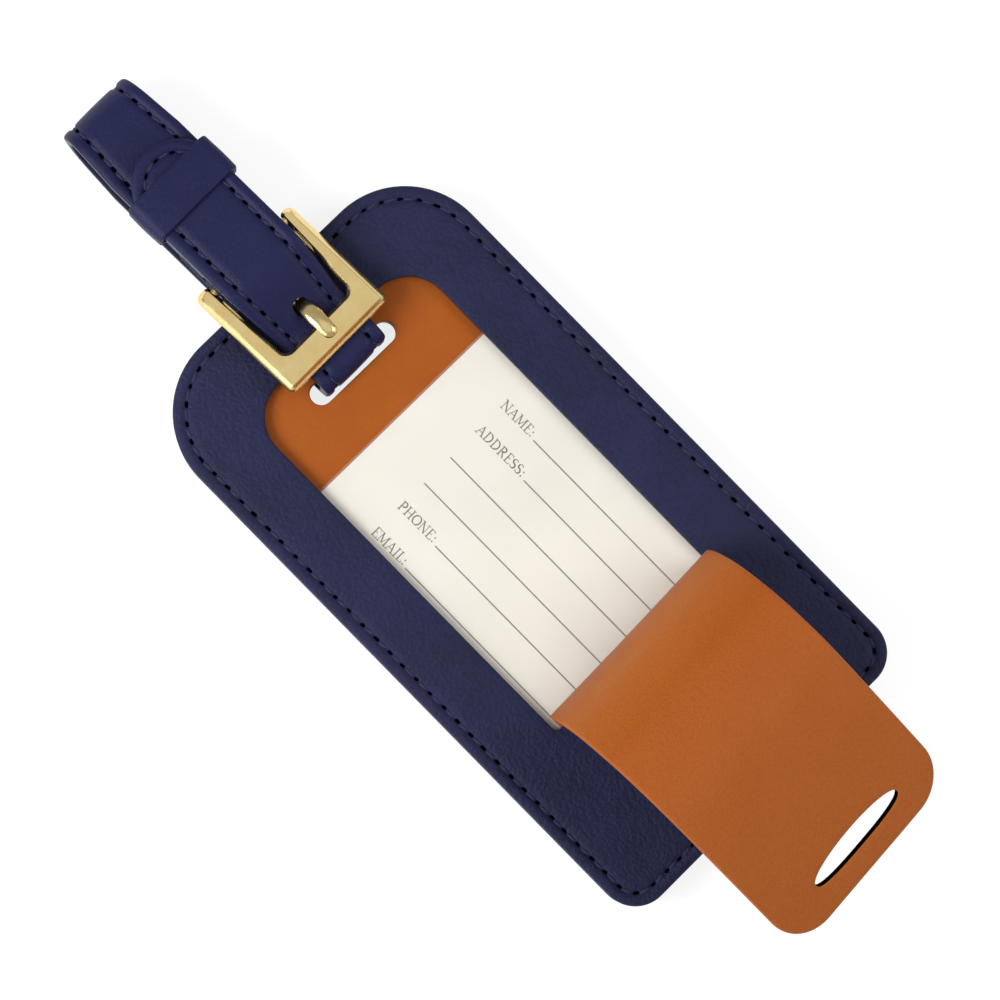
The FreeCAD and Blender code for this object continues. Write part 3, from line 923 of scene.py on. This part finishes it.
def glyphs():
    """Plain roman capitals as (advance, strokes), a stroke being (width, points), one cap height tall."""
    post = stem((0.2, 0), (0.2, 1))
    return {
        "N": (0.86, [hair((0.15, 0), (0.15, 1)), stem((0.12, 1), (0.7, 0)), hair((0.7, 0), (0.7, 1)),
                     foot(0.15, 0), foot(0.1, 1), foot(0.7, 1)]),
        "A": (0.84, [hair((0.1, 0), (0.41, 1)), stem((0.41, 1), (0.72, 0)), hair((0.2, 0.36), (0.6, 0.36)),
                     foot(0.1, 0), foot(0.72, 0)]),
        "M": (1.02, [hair((0.15, 0), (0.18, 1)), stem((0.18, 1), (0.5, 0.1)), hair((0.5, 0.1), (0.82, 1)),
                     stem((0.82, 1), (0.86, 0)), foot(0.15, 0), foot(0.86, 0),
                     foot(0.14, 1), foot(0.86, 1)]),
        "E": (0.68, [post, hair((0.1, 0), (0.6, 0), (0.62, 0.18)), hair((0.1, 1), (0.57, 1), (0.58, 0.84)),
                     hair((0.2, 0.52), (0.48, 0.52))]),
        "D": (0.86, [post, hair((0.08, 1), (0.36, 1)), hair((0.08, 0), (0.36, 0)),
                     stem(*bow(0.36, 0.5, 0.38, 0.48, 80, -80))]),
        "R": (0.80, [post, hair((0.08, 1), (0.36, 1)), stem(*bow(0.34, 0.76, 0.25, 0.24, 85, -90)),
                     hair((0.2, 0.52), (0.36, 0.52)), stem((0.36, 0.52), (0.7, 0)), foot(0.2, 0)]),
        "S": (0.62, [hair(*bow(0.3, 0.76, 0.2, 0.23, 20, 160)), stem(*bow(0.3, 0.76, 0.2, 0.24, 160, 260)),
                     stem(*bow(0.3, 0.25, 0.22, 0.27, 90, -60)),
                     hair(*bow(0.3, 0.25, 0.22, 0.25, -60, -160))]),
        "P": (0.68, [post, hair((0.08, 1), (0.34, 1)), stem(*bow(0.34, 0.74, 0.26, 0.26, 90, -90)),
                     hair((0.2, 0.48), (0.34, 0.48)), foot(0.2, 0)]),
        "H": (0.88, [post, stem((0.7, 0), (0.7, 1)), hair((0.2, 0.5), (0.7, 0.5)),
                     foot(0.2, 0), foot(0.2, 1), foot(0.7, 0), foot(0.7, 1)]),
        "O": (0.88, [stem(*bow(0.44, 0.5, 0.36, 0.49, 110, 250)),
                     hair(*bow(0.44, 0.5, 0.36, 0.49, 250, 290)),
                     stem(*bow(0.44, 0.5, 0.36, 0.49, -70, 70)),
                     hair(*bow(0.44, 0.5, 0.36, 0.49, 70, 110))]),
        "I": (0.40, [post, foot(0.2, 0), foot(0.2, 1)]),
        "L": (0.64, [post, foot(0.2, 1), hair((0.08, 0), (0.56, 0), (0.58, 0.2))]),
        ":": (0.36, [stem((0.18, 0.02), (0.18, 0.14)), stem((0.18, 0.5), (0.18, 0.62))]),
    }


def add_stroke(points, faces, line, width, z, thickness=0.02):
    """A thin closed bar for each run of a stroke."""
    for a, b in zip(line, line[1:]):
        a, b = np.array(a), np.array(b)
        ahead = (b - a) / max(np.linalg.norm(b - a), 1e-9)
        side = np.array([-ahead[1], ahead[0]]) * width / 2
        a2, b2 = a - ahead * width * 0.2, b + ahead * width * 0.2
        base = len(points)
        for level in (z, z + thickness):
            for corner in (a2 - side, b2 - side, b2 + side, a2 + side):
                points.append((corner[0], corner[1], level))
        quads = [(3, 2, 1, 0), (4, 5, 6, 7), (0, 1, 5, 4), (1, 2, 6, 5), (2, 3, 7, 6), (3, 0, 4, 7)]
        faces += [tuple(base + i for i in q) for q in quads]


def make_card_print():
    """Ruled lines and plain field labels. Labels read towards -Y with their tops towards +X."""
    z = CARD_HIGH[2] + 0.004
    points, faces = [], []
    for x, start in RULES:
        add_stroke(points, faces, [(x, start), (x, RULE_END_Y)], 0.24, z)
    letters = glyphs()
    for text, base_x in LABELS.items():
        y = LABEL_Y
        for letter in text:
            advance, strokes = letters[letter]
            for width, line in strokes:
                laid = [(base_x + v * CAP_HEIGHT, y - u * LETTER_PITCH) for u, v in line]
                add_stroke(points, faces, laid, width * CAP_HEIGHT, z)
            y -= advance * LETTER_PITCH
    piece = new_mesh("card_print", points, faces, [INK])
    finish_piece(piece, "card", "card_paper")


# ---------------------------------------------------------------- the flap

FLAP_HALF_W = FLAP_HIGH[0]
FLAP_T = FLAP_HIGH[2] - FLAP_LOW[2]
FLAP_Z = (FLAP_HIGH[2] + FLAP_LOW[2]) / 2
FLAP_JOINTS = ["flap_close", "flap_unroll_2", "flap_unroll_3", "flap_unroll_4", "flap_unroll_5"]
HINGES = [np.array(JOINTS[name]["pos_m"][1:]) / MM for name in FLAP_JOINTS]
FLAP_ROOT_Y = -33.5
FLAP_FLAT_L = 3.5
FLAP_BENDS = [(4.2, 82.0), (26.0, 73.0), (14.0, 45.0), (34.8, 6.0)]
FLAP_CORNER_R = 8.0
FLAP_SLOT_FROM_TIP = 6.0
CREST_SKEW = 0.05
TIP_SKEW = 0.075
ROOT_DRIFT = 0.4
UNROLL_EASE = 0.6
TIP_DRIFT = 2.6


def flap_bend(step=0.05):
    """Flat at the root, a tight fold, one long arch, then a nearly straight end."""
    turn = 0.0
    headings = [0.0] * round(FLAP_FLAT_L / step)
    for length, degrees in FLAP_BENDS:
        n = round(length / step)
        headings += [turn + math.radians(degrees) * (k + 0.5) / n for k in range(n)]
        turn += math.radians(degrees)
    headings = smoothed(np.array(headings), 41)
    plain = Bend((FLAP_ROOT_Y, FLAP_Z), headings, step)
    eased = headings.copy()
    for low, high in flap_stretches(plain)[1:]:
        within = (plain.s >= low) & (plain.s <= high)
        t = (plain.s[within] - low) / (high - low)
        first, last = np.interp([low, high], plain.s, headings)
        eased[within] += UNROLL_EASE * (first + (last - first) * (3 - 2 * t) * t**2 - headings[within])
    return Bend((FLAP_ROOT_Y, FLAP_Z), eased, step)


def flap_stretches(bend):
    """The length of leather that bends across each of the flap's joints."""
    hinge_s = [nearest_length(bend, hinge) for hinge in HINGES]
    starts = [FLAP_FLAT_L - 0.6] + [(a + b) / 2 for a, b in zip(hinge_s, hinge_s[1:])]
    return list(zip(starts, starts[1:] + [hinge_s[-1] + 6.0]))


def smoothed(values, width):
    padded = np.concatenate([np.full(width, values[0]), values, np.full(width, values[-1])])
    return np.convolve(padded, np.ones(width) / width, mode="same")[width:-width]


def make_flap():
    bend = flap_bend()
    length = bend.s[-1]
    w = FLAP_HALF_W
    outline = box_loop(-w, w, 0, length, 0.8, FLAP_CORNER_R, 0.7)
    slot = stretched_slot(length - FLAP_SLOT_FROM_TIP)
    edge = plain_edge(0.5, 4)
    cut = plain_edge(0.14, 2)
    half = FLAP_T / 2
    waves = soft_waves(0.12, 17.0, 21.0)
    free = length - FLAP_FLAT_L

    def shape(x, s, h):
        """Skives the root, sets the leather on its bend, and skews and drifts it as in the picture."""
        thin = 0.42 + 0.58 * min(1.0, max(0.0, (s - FLAP_FLAT_L) / 1.5))
        h = -half + (h + half) * thin
        share = max(0.0, (s - FLAP_FLAT_L) / free)
        y, z = bend.place(x, s, h + waves(x, s, 0) * min(1.0, 4 * share))[1:]
        skew = CREST_SKEW * min(1.0, share * 8) + (TIP_SKEW - CREST_SKEW) * share
        width = 1 - 0.04 * max(0.0, 1 - 11 * share)
        return (x * width + ROOT_DRIFT + (TIP_DRIFT - ROOT_DRIFT) * share, y + skew * x, z)

    plate = Plate(
        outline, [slot], (edge, cut), (edge, cut), half, -half,
        (np.arange(-w + 1, w, 1.6), np.concatenate([np.arange(1.0, 9.0, 0.5), np.arange(9.0, length, 1.0)])),
    )
    sides = {TOP: 0, BOTTOM: 0, OUTER_WALL: 1, HOLE_WALL: 2}
    # The slot's wall takes the near-black, matte material.
    whole = plate.mesh("flap_whole", [FLAP_SKIN, TAN_EDGE, BLACK_SLOT_WALL], shape, sides)
    split_flap(whole, plate, bend)


def stretched_slot(y):
    """The flap's slot, pulled open into a long oval whose side towards the tip stays straighter."""
    half_l, near, far = SLOT_L / 2 + 0.9, 2.4, 1.85
    shift, steps = 0.65, 96
    points = []
    for k in range(steps):
        a = 2 * math.pi * k / steps
        c, s = math.cos(a), math.sin(a)
        power = 0.7 if s > 0 else 1.0
        x = math.copysign(abs(c) ** power, c) * half_l
        along = math.copysign(abs(s) ** power, s) * (far if s > 0 else near)
        points.append((x + shift, y - shift + along))
    return fill_in(np.array(points), 0.4)


def nearest_length(bend, point):
    return bend.s[np.argmin((bend.y - point[0]) ** 2 + (bend.z - point[1]) ** 2)]


def split_flap(whole, plate, bend):
    """Cuts the flap's mesh into the stretches that bend across each of its joints."""
    bodies = ["tag_body", "flap_curl_1", "flap_curl_2", "flap_curl_3", "flap_curl_4", "flap_end"]
    starts, ends = zip(*flap_stretches(bend))
    mesh = whole.data
    normals = [v.normal.copy() for v in mesh.vertices]
    uv_layer = mesh.uv_layers[0].data
    for k in range(5):
        low = starts[k] if k else -10.0
        high = ends[k] if k < 4 else 1e9
        picked = [
            p for p in mesh.polygons
            if low <= np.mean([plate.points[v][1] for v in p.vertices]) < high
        ]
        used = sorted({v for p in picked for v in p.vertices})
        index = {v: i for i, v in enumerate(used)}
        part = bpy.data.meshes.new("flap_leather_%d" % (k + 1))
        faces = [[index[v] for v in p.vertices] for p in picked]
        part.from_pydata([mesh.vertices[v].co for v in used], [], faces)
        layer = part.uv_layers.new(name="Leather")
        corner = 0
        for p in picked:
            for i in p.loop_indices:
                layer.data[corner].uv = uv_layer[i].uv
                corner += 1
        for m in mesh.materials:
            part.materials.append(m)
        part.polygons.foreach_set("material_index", [p.material_index for p in picked])
        part.shade_smooth()
        part.normals_split_custom_set_from_vertices([normals[v] for v in used])
        piece = bpy.data.objects.new(part.name, part)
        bpy.context.scene.collection.objects.link(piece)
        start = Vector(bend.place(0, starts[k], 0)) * MM
        end = Vector(bend.place(0, ends[k], 0)) * MM
        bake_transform(piece)
        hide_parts(*(["flap_root", "flap_curl_1"] if k == 0 else [bodies[k + 1]]))
    bpy.data.objects.remove(whole)


# ---------------------------------------------------------------- the strap

PLY_T = 1.1
STRAP_HALF_W = 8.4
NECK_HALF_W = 7.4
LOOP_END_HALF_W = 7.05
STRAP_LOW, STRAP_HIGH = box_mm("strap_face")
HEEL_Z = JOINTS["buckle_tilt"]["pos_m"][2] / MM
HEEL_Y = SLOT_Y + (JOINTS["buckle_tilt"]["pos_m"][1] / MM - SLOT_Y) / math.cos(YAW)
UPPER_Z = STRAP_HIGH[2] - PLY_T
UNDER_BAR_Z = 5.7
RETURN_Z = STRAP_LOW[2] + PLY_T
LOOP_TOP_Z = HEEL_Z + 1.05
TIP_Y = 94.0
RISE_Y = (53.0, 64.5)
LOOP_END_Y = 106.2
LINING_END_Y = 71.0
WIDTHS = [(SLOT_Y - 8, NECK_HALF_W), (RISE_Y[0], NECK_HALF_W), (65.5, STRAP_HALF_W),
          (TIP_Y, STRAP_HALF_W), (LOOP_END_Y + 8, LOOP_END_HALF_W)]
PRONG_X = 0.5
PRONG_HOLE_X = 0.25
PRONG_HOLE_Y = 56.1
END_CORNER_R = 0.9
STRAP_SIDES = {BOTTOM: 0, TOP: 1, OUTER_WALL: 2, HOLE_WALL: 2}


def strap_bend():
    loop_r = (LOOP_TOP_Z - RETURN_Z) / 2 * 0.999
    points = [
        (TIP_Y, UPPER_Z), (RISE_Y[1], UPPER_Z), (RISE_Y[0], UNDER_BAR_Z), (SLOT_Y, UNDER_BAR_Z),
        (SLOT_Y, RETURN_Z), (LOOP_END_Y, RETURN_Z), (LOOP_END_Y, LOOP_TOP_Z), (LINING_END_Y, LOOP_TOP_Z),
    ]
    return fillet_bend(points, [8.0, 8.0, 1.6, 1.6, loop_r, loop_r])


def strap_half_width(y):
    return np.interp(y, [a for a, _ in WIDTHS], [b for _, b in WIDTHS])


def strap_outline(bend, step=0.45):
    r = STRAP_HALF_W
    length = bend.s[-1]
    turns = np.linspace(math.pi, 2 * math.pi, 40)
    tip = [(r * math.cos(a), r + r * math.sin(a)) for a in turns]
    sides = np.arange(r + step, length - END_CORNER_R, step)
    half = strap_half_width(bend.at(sides)[0])
    right = list(zip(half, sides))
    turns = np.linspace(0, math.pi / 2, 6)
    x, y, c = half[-1] - END_CORNER_R, length - END_CORNER_R, END_CORNER_R
    right += [(x + c * math.cos(a), y + c * math.sin(a)) for a in turns]
    end = [(u, length) for u in np.arange(x - step, -x + step / 2, -step)]
    left = [(-w, s) for w, s in reversed(right)]
    return np.array(tip + right + end + left), length


def heel_ease(length):
    """Lets the dressed edge die out towards the skived heel end."""
    return lambda loop: np.clip((length - loop[:, 1]) / 4.0, 0.18, 1.0)


def row_stations(bend, length):
    """Closer rows where the strap bends."""
    rows = [0.9]
    while rows[-1] < length - 0.8:
        s = rows[-1]
        bent = abs(bend.at(min(length, s + 0.6))[2] - bend.at(max(0, s - 0.6))[2]) / 1.2
        rows.append(s + (0.45 if bent > 0.15 else 0.9))
    return np.array(rows[:-1])


def strap_shape(bend):
    """Puts the flat strap on its bend, padded a little on its outer face, which is at negative h."""
    waves = soft_waves(0.1, 12.0, 40.0)

    def shape(x, s, h):
        pad = 0.16 * max(0.0, 1 - (x / 6.0) ** 2) * (h < -0.6)
        return turned(bend.place(x, s, h - pad + 0.4 * waves(x, s, 0) * (abs(h) > 0.7)))

    return shape


def make_strap():
    bend = strap_bend()
    outline, length = strap_outline(bend)
    s, x = bend.s[np.argmax(bend.y < PRONG_HOLE_Y)], PRONG_HOLE_X
    half_w, half_l = 1.55, 1.8
    hole = box_loop(x - half_w, x + half_w, s - half_l, s + half_l, 1.5, 1.5, 0.3)
    ease = heel_ease(length)
    seam = inset_loop(outline, STITCH_INSET * ease(outline))
    count = round(len_of(seam) / STRAP_PITCH)
    shape = strap_shape(bend)
    plate = Plate(
        outline, [hole],
        (sewn_edge(0.3, STITCH_INSET, 0.12, 0.0), plain_edge(0.2, 3)),
        (sewn_edge(0.42, STITCH_INSET, 0.36, 0.16), plain_edge(0.35, 4)),
        PLY_T, -PLY_T,
        (np.arange(-8.0, 8.1, 1.0), row_stations(bend, length)),
        None,
        stitch_pits(STITCH_INSET, count, 0.22, (BOTTOM,)),
        ease,
    )
    piece = plate.mesh("strap_leather", [STRAP_SKIN, LINING, NAVY_EDGE], shape, STRAP_SIDES)
    finish_piece(piece, "strap", "navy_leather", "strap_face", "strap_lining")
    rows = [
        ("strap_stitches", -PLY_T + 0.27, "strap_thread_left"),
        ("lining_stitches", PLY_T - 0.1, "strap_thread_right"),
    ]
    for name, h, node in rows:
        places = strap_places(bend, seam, count, h, length, 0.5)
        holes = strap_places(bend, seam, count, h, length, 0)
        stitches = sew(name, places, holes, STRAP_PITCH * STITCH_SHARE, 0.6, 0.5, THREAD)
        finish_piece(stitches, "strap", "navy_thread", node)


def strap_places(bend, seam, count, h, length, phase_share):
    """Places for stitches along the bent strap, up to the end that is tucked round the heel bar."""
    out = []
    for position, direction, _ in loop_places(seam, count, h, (0, 0, 1), phase_share):
        x, s = position[0], position[1]
        if s > length - 4.5:
            continue
        spot = np.array(turned(bend.place(x, s, h)))
        step = direction / np.linalg.norm(direction) * 0.2
        ahead = np.array(turned(bend.place(x + step[0], s + step[1], h)))
        off = np.array(turned(bend.place(x, s, h + math.copysign(0.2, h))))
        out.append((spot, ahead - spot, (off - spot) / np.linalg.norm(off - spot)))
    return out


def make_fold():
    """The strap's face ply round the heel bar, with the slit that the prong's eye turns in."""
    r = 1.05 + PLY_T / 2
    top, low = HEEL_Z + r, HEEL_Z - r
    tail_z = LOOP_TOP_Z - PLY_T * 1.5 - 0.02
    points = [(LINING_END_Y, top), (HEEL_Y - r, top), (HEEL_Y - r, low), (HEEL_Y + 4, low),
              (HEEL_Y + 7, tail_z), (79.0, tail_z)]
    bend = fillet_bend(points, [r * 0.999, r * 0.999, 3.0, 3.0])
    length = bend.s[-1]
    w = STRAP_HALF_W + 0.2
    outline = box_loop(-w, w, 0, length, 0.6, 2.5, 0.4)
    slit = box_loop(PRONG_X - 1.5, PRONG_X + 1.5, 0.8, 10.6, 1.4, 1.4, 0.4)
    edge = plain_edge(0.3, 3)
    half = PLY_T / 2 - 0.01
    plate = Plate(outline, [slit], (edge, edge), (edge, edge), half, -half,
                  (np.arange(-7.6, 7.7, 1.2), np.arange(0.6, length - 0.3, 0.5)))
    sides = {BOTTOM: 0, OUTER_WALL: 1, TOP: 2, HOLE_WALL: 1}
    piece = plate.mesh("strap_fold", [STRAP_SKIN, NAVY_EDGE, LINING],
                       lambda x, s, h: turned(bend.place(x, s, h)), sides)
    finish_piece(piece, "strap", "navy_leather")
    s_sewn = length - 1.8
    places = []
    for i in range(4):
        x = -4.2 + 2.8 * i
        spot = np.array(turned(bend.place(x, s_sewn, -half - 0.02)))
        places.append((spot, turned_direction((1.0, 0, 0)), np.array([0, 0, -1.0])))
    stitches = sew("fold_stitches", places, [], 2.1, 0.5, 0.3, THREAD)
    finish_piece(stitches, "strap", "navy_thread", "fold_thread")


# ---------------------------------------------------------------- keeper, buckle and prong


def tube(name, rings, materials, closed, flat=None, smooth_angle=50):
    """A skin over rings of points. Closed joins the last ring to the first, else the ends are capped."""
    n = len(rings[0])
    points = [tuple(p) for ring in rings for p in ring]
    faces = []
    count = len(rings)
    for i in range(count if closed else count - 1):
        a, b = i * n, ((i + 1) % count) * n
        for k in range(n):
            j = (k + 1) % n
            faces.append((a + k, a + j, b + j, b + k))
    if not closed:
        faces.append(tuple(range(n))[::-1])
        faces.append(tuple(range((count - 1) * n, count * n)))
    return new_mesh(name, points, faces, materials, flat, smooth_angle=smooth_angle)


def make_keeper():
    low, high = box_mm("keeper_loop")
    width, t = 8.1, 1.1
    middle_y = SLOT_Y + (((low + high) / 2)[1] - SLOT_Y) / math.cos(YAW)
    half_x = STRAP_HALF_W + 0.1 + t / 2
    ring_step = 0.5
    ring = box_loop(-half_x, half_x, low[2] + t / 2, high[2] - t / 2, 1.2, 1.5, ring_step)
    ahead = np.roll(ring, -1, axis=0) - np.roll(ring, 1, axis=0)
    ahead /= np.linalg.norm(ahead, axis=1)[:, None]
    outward = np.stack([ahead[:, 1], -ahead[:, 0]], axis=1)
    section = box_loop(-width / 2, width / 2, -t / 2, t / 2, 0.25, 0.42, 0.5)
    waves = soft_waves(0.1, 5.0, 60.0)
    rings = []
    flat = []
    reach = 0.0
    for p, o in zip(ring, outward):
        crown = 0.1 * max(0.0, 1 - (p[0] / half_x) ** 2) * (1 if o[1] > 0.5 else 0)
        row = []
        for y, h in section:
            out = h + crown + (waves(p[0], y, 0) + 0.10 * (1 - (y / 4.0) ** 2)) * (h > 0.2)
            row.append(turned((p[0] + o[0] * out, middle_y + y, p[1] + o[1] * out)))
            flat.append((reach, y))
        reach += ring_step
        rings.append(row)
    piece = tube("keeper_leather", rings, [STRAP_SKIN], True, flat)
    finish_piece(piece, "keeper", "navy_leather", "keeper_loop")


PRONG_TIP_Y = 47.9
PRONG_LINE = [(67.3, 8.0), (60.8, 5.6), (57.4, 5.75), (54.4, 9.2), (51.0, 9.75), (PRONG_TIP_Y, 9.45)]
PRONG_WIDTHS = [(PRONG_TIP_Y, 1.25), (49.8, 1.4), (52.6, 1.7), (54.6, 1.5), (57.5, 1.1), (67.3, 1.05)]
EYE_BORE_R = 1.06
EYE_WIRE_R = 0.4
EYE_HALF_W = 1.1


def make_prong():
    """A flat-bellied tongue, widest where it lies over the strap's edge, with an eye round the heel bar."""
    bend = fillet_bend(PRONG_LINE, [4.0, 1.6, 2.6, 5.0], soften=21)
    length = bend.s[-1]
    tip = 1.3
    tip_rows = length - tip * (1 - np.sin(np.linspace(0, math.pi / 2, 9)))
    rings = []
    for s in np.concatenate([np.arange(0, length - tip, 0.4), tip_rows]):
        end = math.sqrt(max(0.003, 1 - max(0.0, (s - (length - tip)) / tip) ** 2))
        y = bend.at(s)[0]
        half_w = np.interp(y, [a for a, _ in PRONG_WIDTHS], [b for _, b in PRONG_WIDTHS]) * end
        half_t = 0.9 * (0.2 + 0.8 * end)
        ring = []
        for k in range(24):
            a = 2 * math.pi * k / 24
            u = math.copysign(abs(math.cos(a)) ** 0.85, math.cos(a)) * half_w
            v = math.copysign(abs(math.sin(a)) ** 0.85, math.sin(a)) * half_t
            ring.append(turned(bend.place(PRONG_X + u, s, v)))
        rings.append(ring)
    shaft = tube("prong_shaft", rings, [GOLD], False)
    finish_piece(shaft, "prong", "polished_brass", "prong")
    rings = []
    for i in range(36):
        a = 2 * math.pi * i / 36
        ring = []
        for k in range(12):
            b = 2 * math.pi * k / 12
            r = EYE_BORE_R + EYE_WIRE_R + EYE_WIRE_R * math.sin(b)
            x = PRONG_X + EYE_HALF_W * math.cos(b)
            ring.append(turned((x, HEEL_Y + r * math.cos(a), HEEL_Z + r * math.sin(a))))
        rings.append(ring)
    eye = tube("prong_eye", rings, [GOLD], True)
    finish_piece(eye, "prong", "polished_brass")


BUCKLE_FRONT_Y, BUCKLE_HEEL_Y = 45.8, 70.0
BUCKLE_FRONT_HALF, BUCKLE_HEEL_HALF = 12.1, 11.9
OPENING_FRONT_HALF, OPENING_HEEL_HALF = 8.25, 8.95
BUCKLE_SHIFT = -0.25
FRONT_BAR = 5.7


def buckle_ease(loop, inner_y):
    """A broad bevel round the outside of the buckle and a narrower one round its opening."""
    x, y = np.abs(loop[:, 0]), loop[:, 1]
    run = (y - BUCKLE_FRONT_Y) / (BUCKLE_HEEL_Y - BUCKLE_FRONT_Y)
    outer = BUCKLE_FRONT_HALF + (BUCKLE_HEEL_HALF - BUCKLE_FRONT_HALF) * run
    inner = OPENING_FRONT_HALF + (OPENING_HEEL_HALF - OPENING_FRONT_HALF) * run
    share = np.maximum((x - inner) / (outer - inner), (inner_y - y) / FRONT_BAR)
    return 0.62 + 0.38 * np.clip((share - 0.3) / 0.5, 0, 1)


def make_buckle():
    low, high = box_mm("buckle_frame")
    inner_y = BUCKLE_FRONT_Y + FRONT_BAR
    outline = rounded_loop(
        [
            (-BUCKLE_FRONT_HALF, BUCKLE_FRONT_Y, 1.2),
            (BUCKLE_FRONT_HALF, BUCKLE_FRONT_Y, 1.2),
            (BUCKLE_HEEL_HALF + BUCKLE_SHIFT, BUCKLE_HEEL_Y, 1.25),
            (OPENING_HEEL_HALF, BUCKLE_HEEL_Y, 1.0),
            (OPENING_FRONT_HALF, inner_y, 1.7),
            (-OPENING_FRONT_HALF, inner_y, 1.7),
            (-OPENING_HEEL_HALF, BUCKLE_HEEL_Y, 1.0),
            (-BUCKLE_HEEL_HALF + BUCKLE_SHIFT, BUCKLE_HEEL_Y, 1.25),
        ],
        0.5,
    )
    top = [(0.0, 1.15), (0.05, 1.0), (0.95, 0.1), (1.08, 0.0)]
    bottom = [(0.0, 0.35), (0.1, 0.1), (0.35, 0.0)]
    plate = Plate(
        outline, [], (top, top), (bottom, bottom), high[2], low[2],
        (np.arange(-12, 12, 0.8), np.arange(46, 70, 0.8)),
        ease=lambda loop: buckle_ease(loop, inner_y),
    )
    piece = plate.mesh("buckle_leaf", [GOLD], lambda x, y, z: turned((x, y, z)))
    cut_notch(piece, high[2], inner_y)
    piece.data.set_sharp_from_angle(angle=math.radians(28))
    finish_piece(piece, "buckle", "polished_brass", "buckle_frame")


def cut_notch(piece, top_z, inner_y):
    """The rounded rest for the prong's tip, cut into the front bar from its inner side."""
    half = 1.4
    loop = box_loop(PRONG_X - half, PRONG_X + half, PRONG_TIP_Y, inner_y + 1.5, 1.3, 0.8, 0.3)
    edge = plain_edge(0.02, 1)
    round_floor = plain_edge(0.6, 4)
    cutter = Plate(loop, [], (edge, edge), (round_floor, round_floor), top_z + 1, top_z - 0.85,
                   (np.arange(-0.6, 1.7, 0.4), np.arange(48, 52.2, 0.4)))
    tool = cutter.mesh("notch_tool", [GOLD], lambda x, y, z: turned((x, y, z)))
    cut = piece.modifiers.new("notch", "BOOLEAN")
    cut.operation = "DIFFERENCE"
    cut.solver = "EXACT"
    cut.object = tool
    bpy.context.view_layer.update()
    shaped = bpy.data.meshes.new_from_object(piece.evaluated_get(bpy.context.evaluated_depsgraph_get()))
    piece.modifiers.clear()
    piece.data = shaped
    bpy.data.objects.remove(tool)


def paint_cad_nodes():
    """Materials for the CAD nodes that keep their own shape."""
    chosen = {"stiffener_board": BOARD, "pocket_filler": BOARD, "heel_bar": GOLD, "keeper_staple": STEEL}
    for node, material in chosen.items():
        mesh = frame["nodes"][node].data
        mesh.materials.clear()
        mesh.materials.append(material)


# ---------------------------------------------------------------- camera, lights and backdrop


def aim(obj, position, target, up):
    """Points an object's -Z at target with its +Y near up. Positions are in mm."""
    back = (Vector(position) - Vector(target)).normalized()
    right = Vector(up).cross(back).normalized()
    true_up = back.cross(right)
    rotation = [[right[i], true_up[i], back[i]] for i in range(3)]
    obj.matrix_world = Matrix.Translation(Vector(position) * MM) @ Matrix(rotation).to_4x4()


CAMERA_TARGET = (1.9, 6.7, 0.0)
CAMERA_DISTANCE = 550.0
CAMERA_TILT = math.radians(6)
CAMERA_UP = (0.702, 0.712, 0.0)
LIGHT_UP = (0.702, 0.712, 0.1)


def make_camera():
    data = bpy.data.cameras.new("studio camera")
    data.sensor_width = 36.0
    data.lens = 110.1
    data.clip_start = 0.01
    camera = bpy.data.objects.new("studio camera", data)
    bpy.context.scene.collection.objects.link(camera)
    x, y, z = CAMERA_TARGET
    position = (x - CAMERA_DISTANCE * math.sin(CAMERA_TILT), y, z + CAMERA_DISTANCE * math.cos(CAMERA_TILT))
    aim(camera, position, CAMERA_TARGET, CAMERA_UP)
    bpy.context.scene.camera = camera


def area_light(name, position, target, size, watts, colour=(1, 1, 1)):
    data = bpy.data.lights.new(name, "AREA")
    data.shape = "RECTANGLE"
    data.size, data.size_y = size[0] * MM, size[1] * MM
    data.energy = watts
    data.color = colour
    light = bpy.data.objects.new(name, data)
    bpy.context.scene.collection.objects.link(light)
    aim(light, position, target, LIGHT_UP)


def make_lights():
    world = bpy.data.worlds.new("studio world")
    world.use_nodes = True
    sky = world.node_tree.nodes["Background"].inputs
    sky["Color"].default_value = (1, 1, 1, 1)
    sky["Strength"].default_value = 0.42
    bpy.context.scene.world = world
    area_light("key", (-330, 190, 330), (0, 0, 0), (240, 240), 2.0)
    area_light("fill", (320, -200, 320), (0, 0, 0), (300, 300), 0.8)
    area_light("overhead card", (60, 0, 620), (0, 0, 0), (420, 420), 0.2)
    area_light("side strip", (-460, 0, 80), (0, 0, 5), (420, 150), 0.6)
    bpy.context.scene.view_settings.view_transform = "Standard"


def make_backdrop():
    z = CAD_BOX[0][2] / MM - 0.05
    half = 900.0
    backdrop = noise_finish(
        "studio backdrop", (0.01, 2.0), [(0.3, (0.28, 0.28, 0.28)), (0.7, (0.29, 0.29, 0.29))],
        Roughness=0.9, Emission_Color=(1, 1, 1, 1), Emission_Strength=0.8,
    )
    points = [(-half, -half, z), (half, -half, z), (half, half, z), (-half, half, z)]
    floor = new_mesh("studio_floor", points, [(0, 1, 2, 3)], [backdrop])


make_front_frame()
make_back_panel()
make_painted_edge()
make_insert()
make_card()
make_clear_cover()
make_card_print()
make_flap()
make_strap()
make_fold()
make_keeper()
make_prong()
make_buckle()
paint_cad_nodes()
make_camera()
make_lights()
make_backdrop()
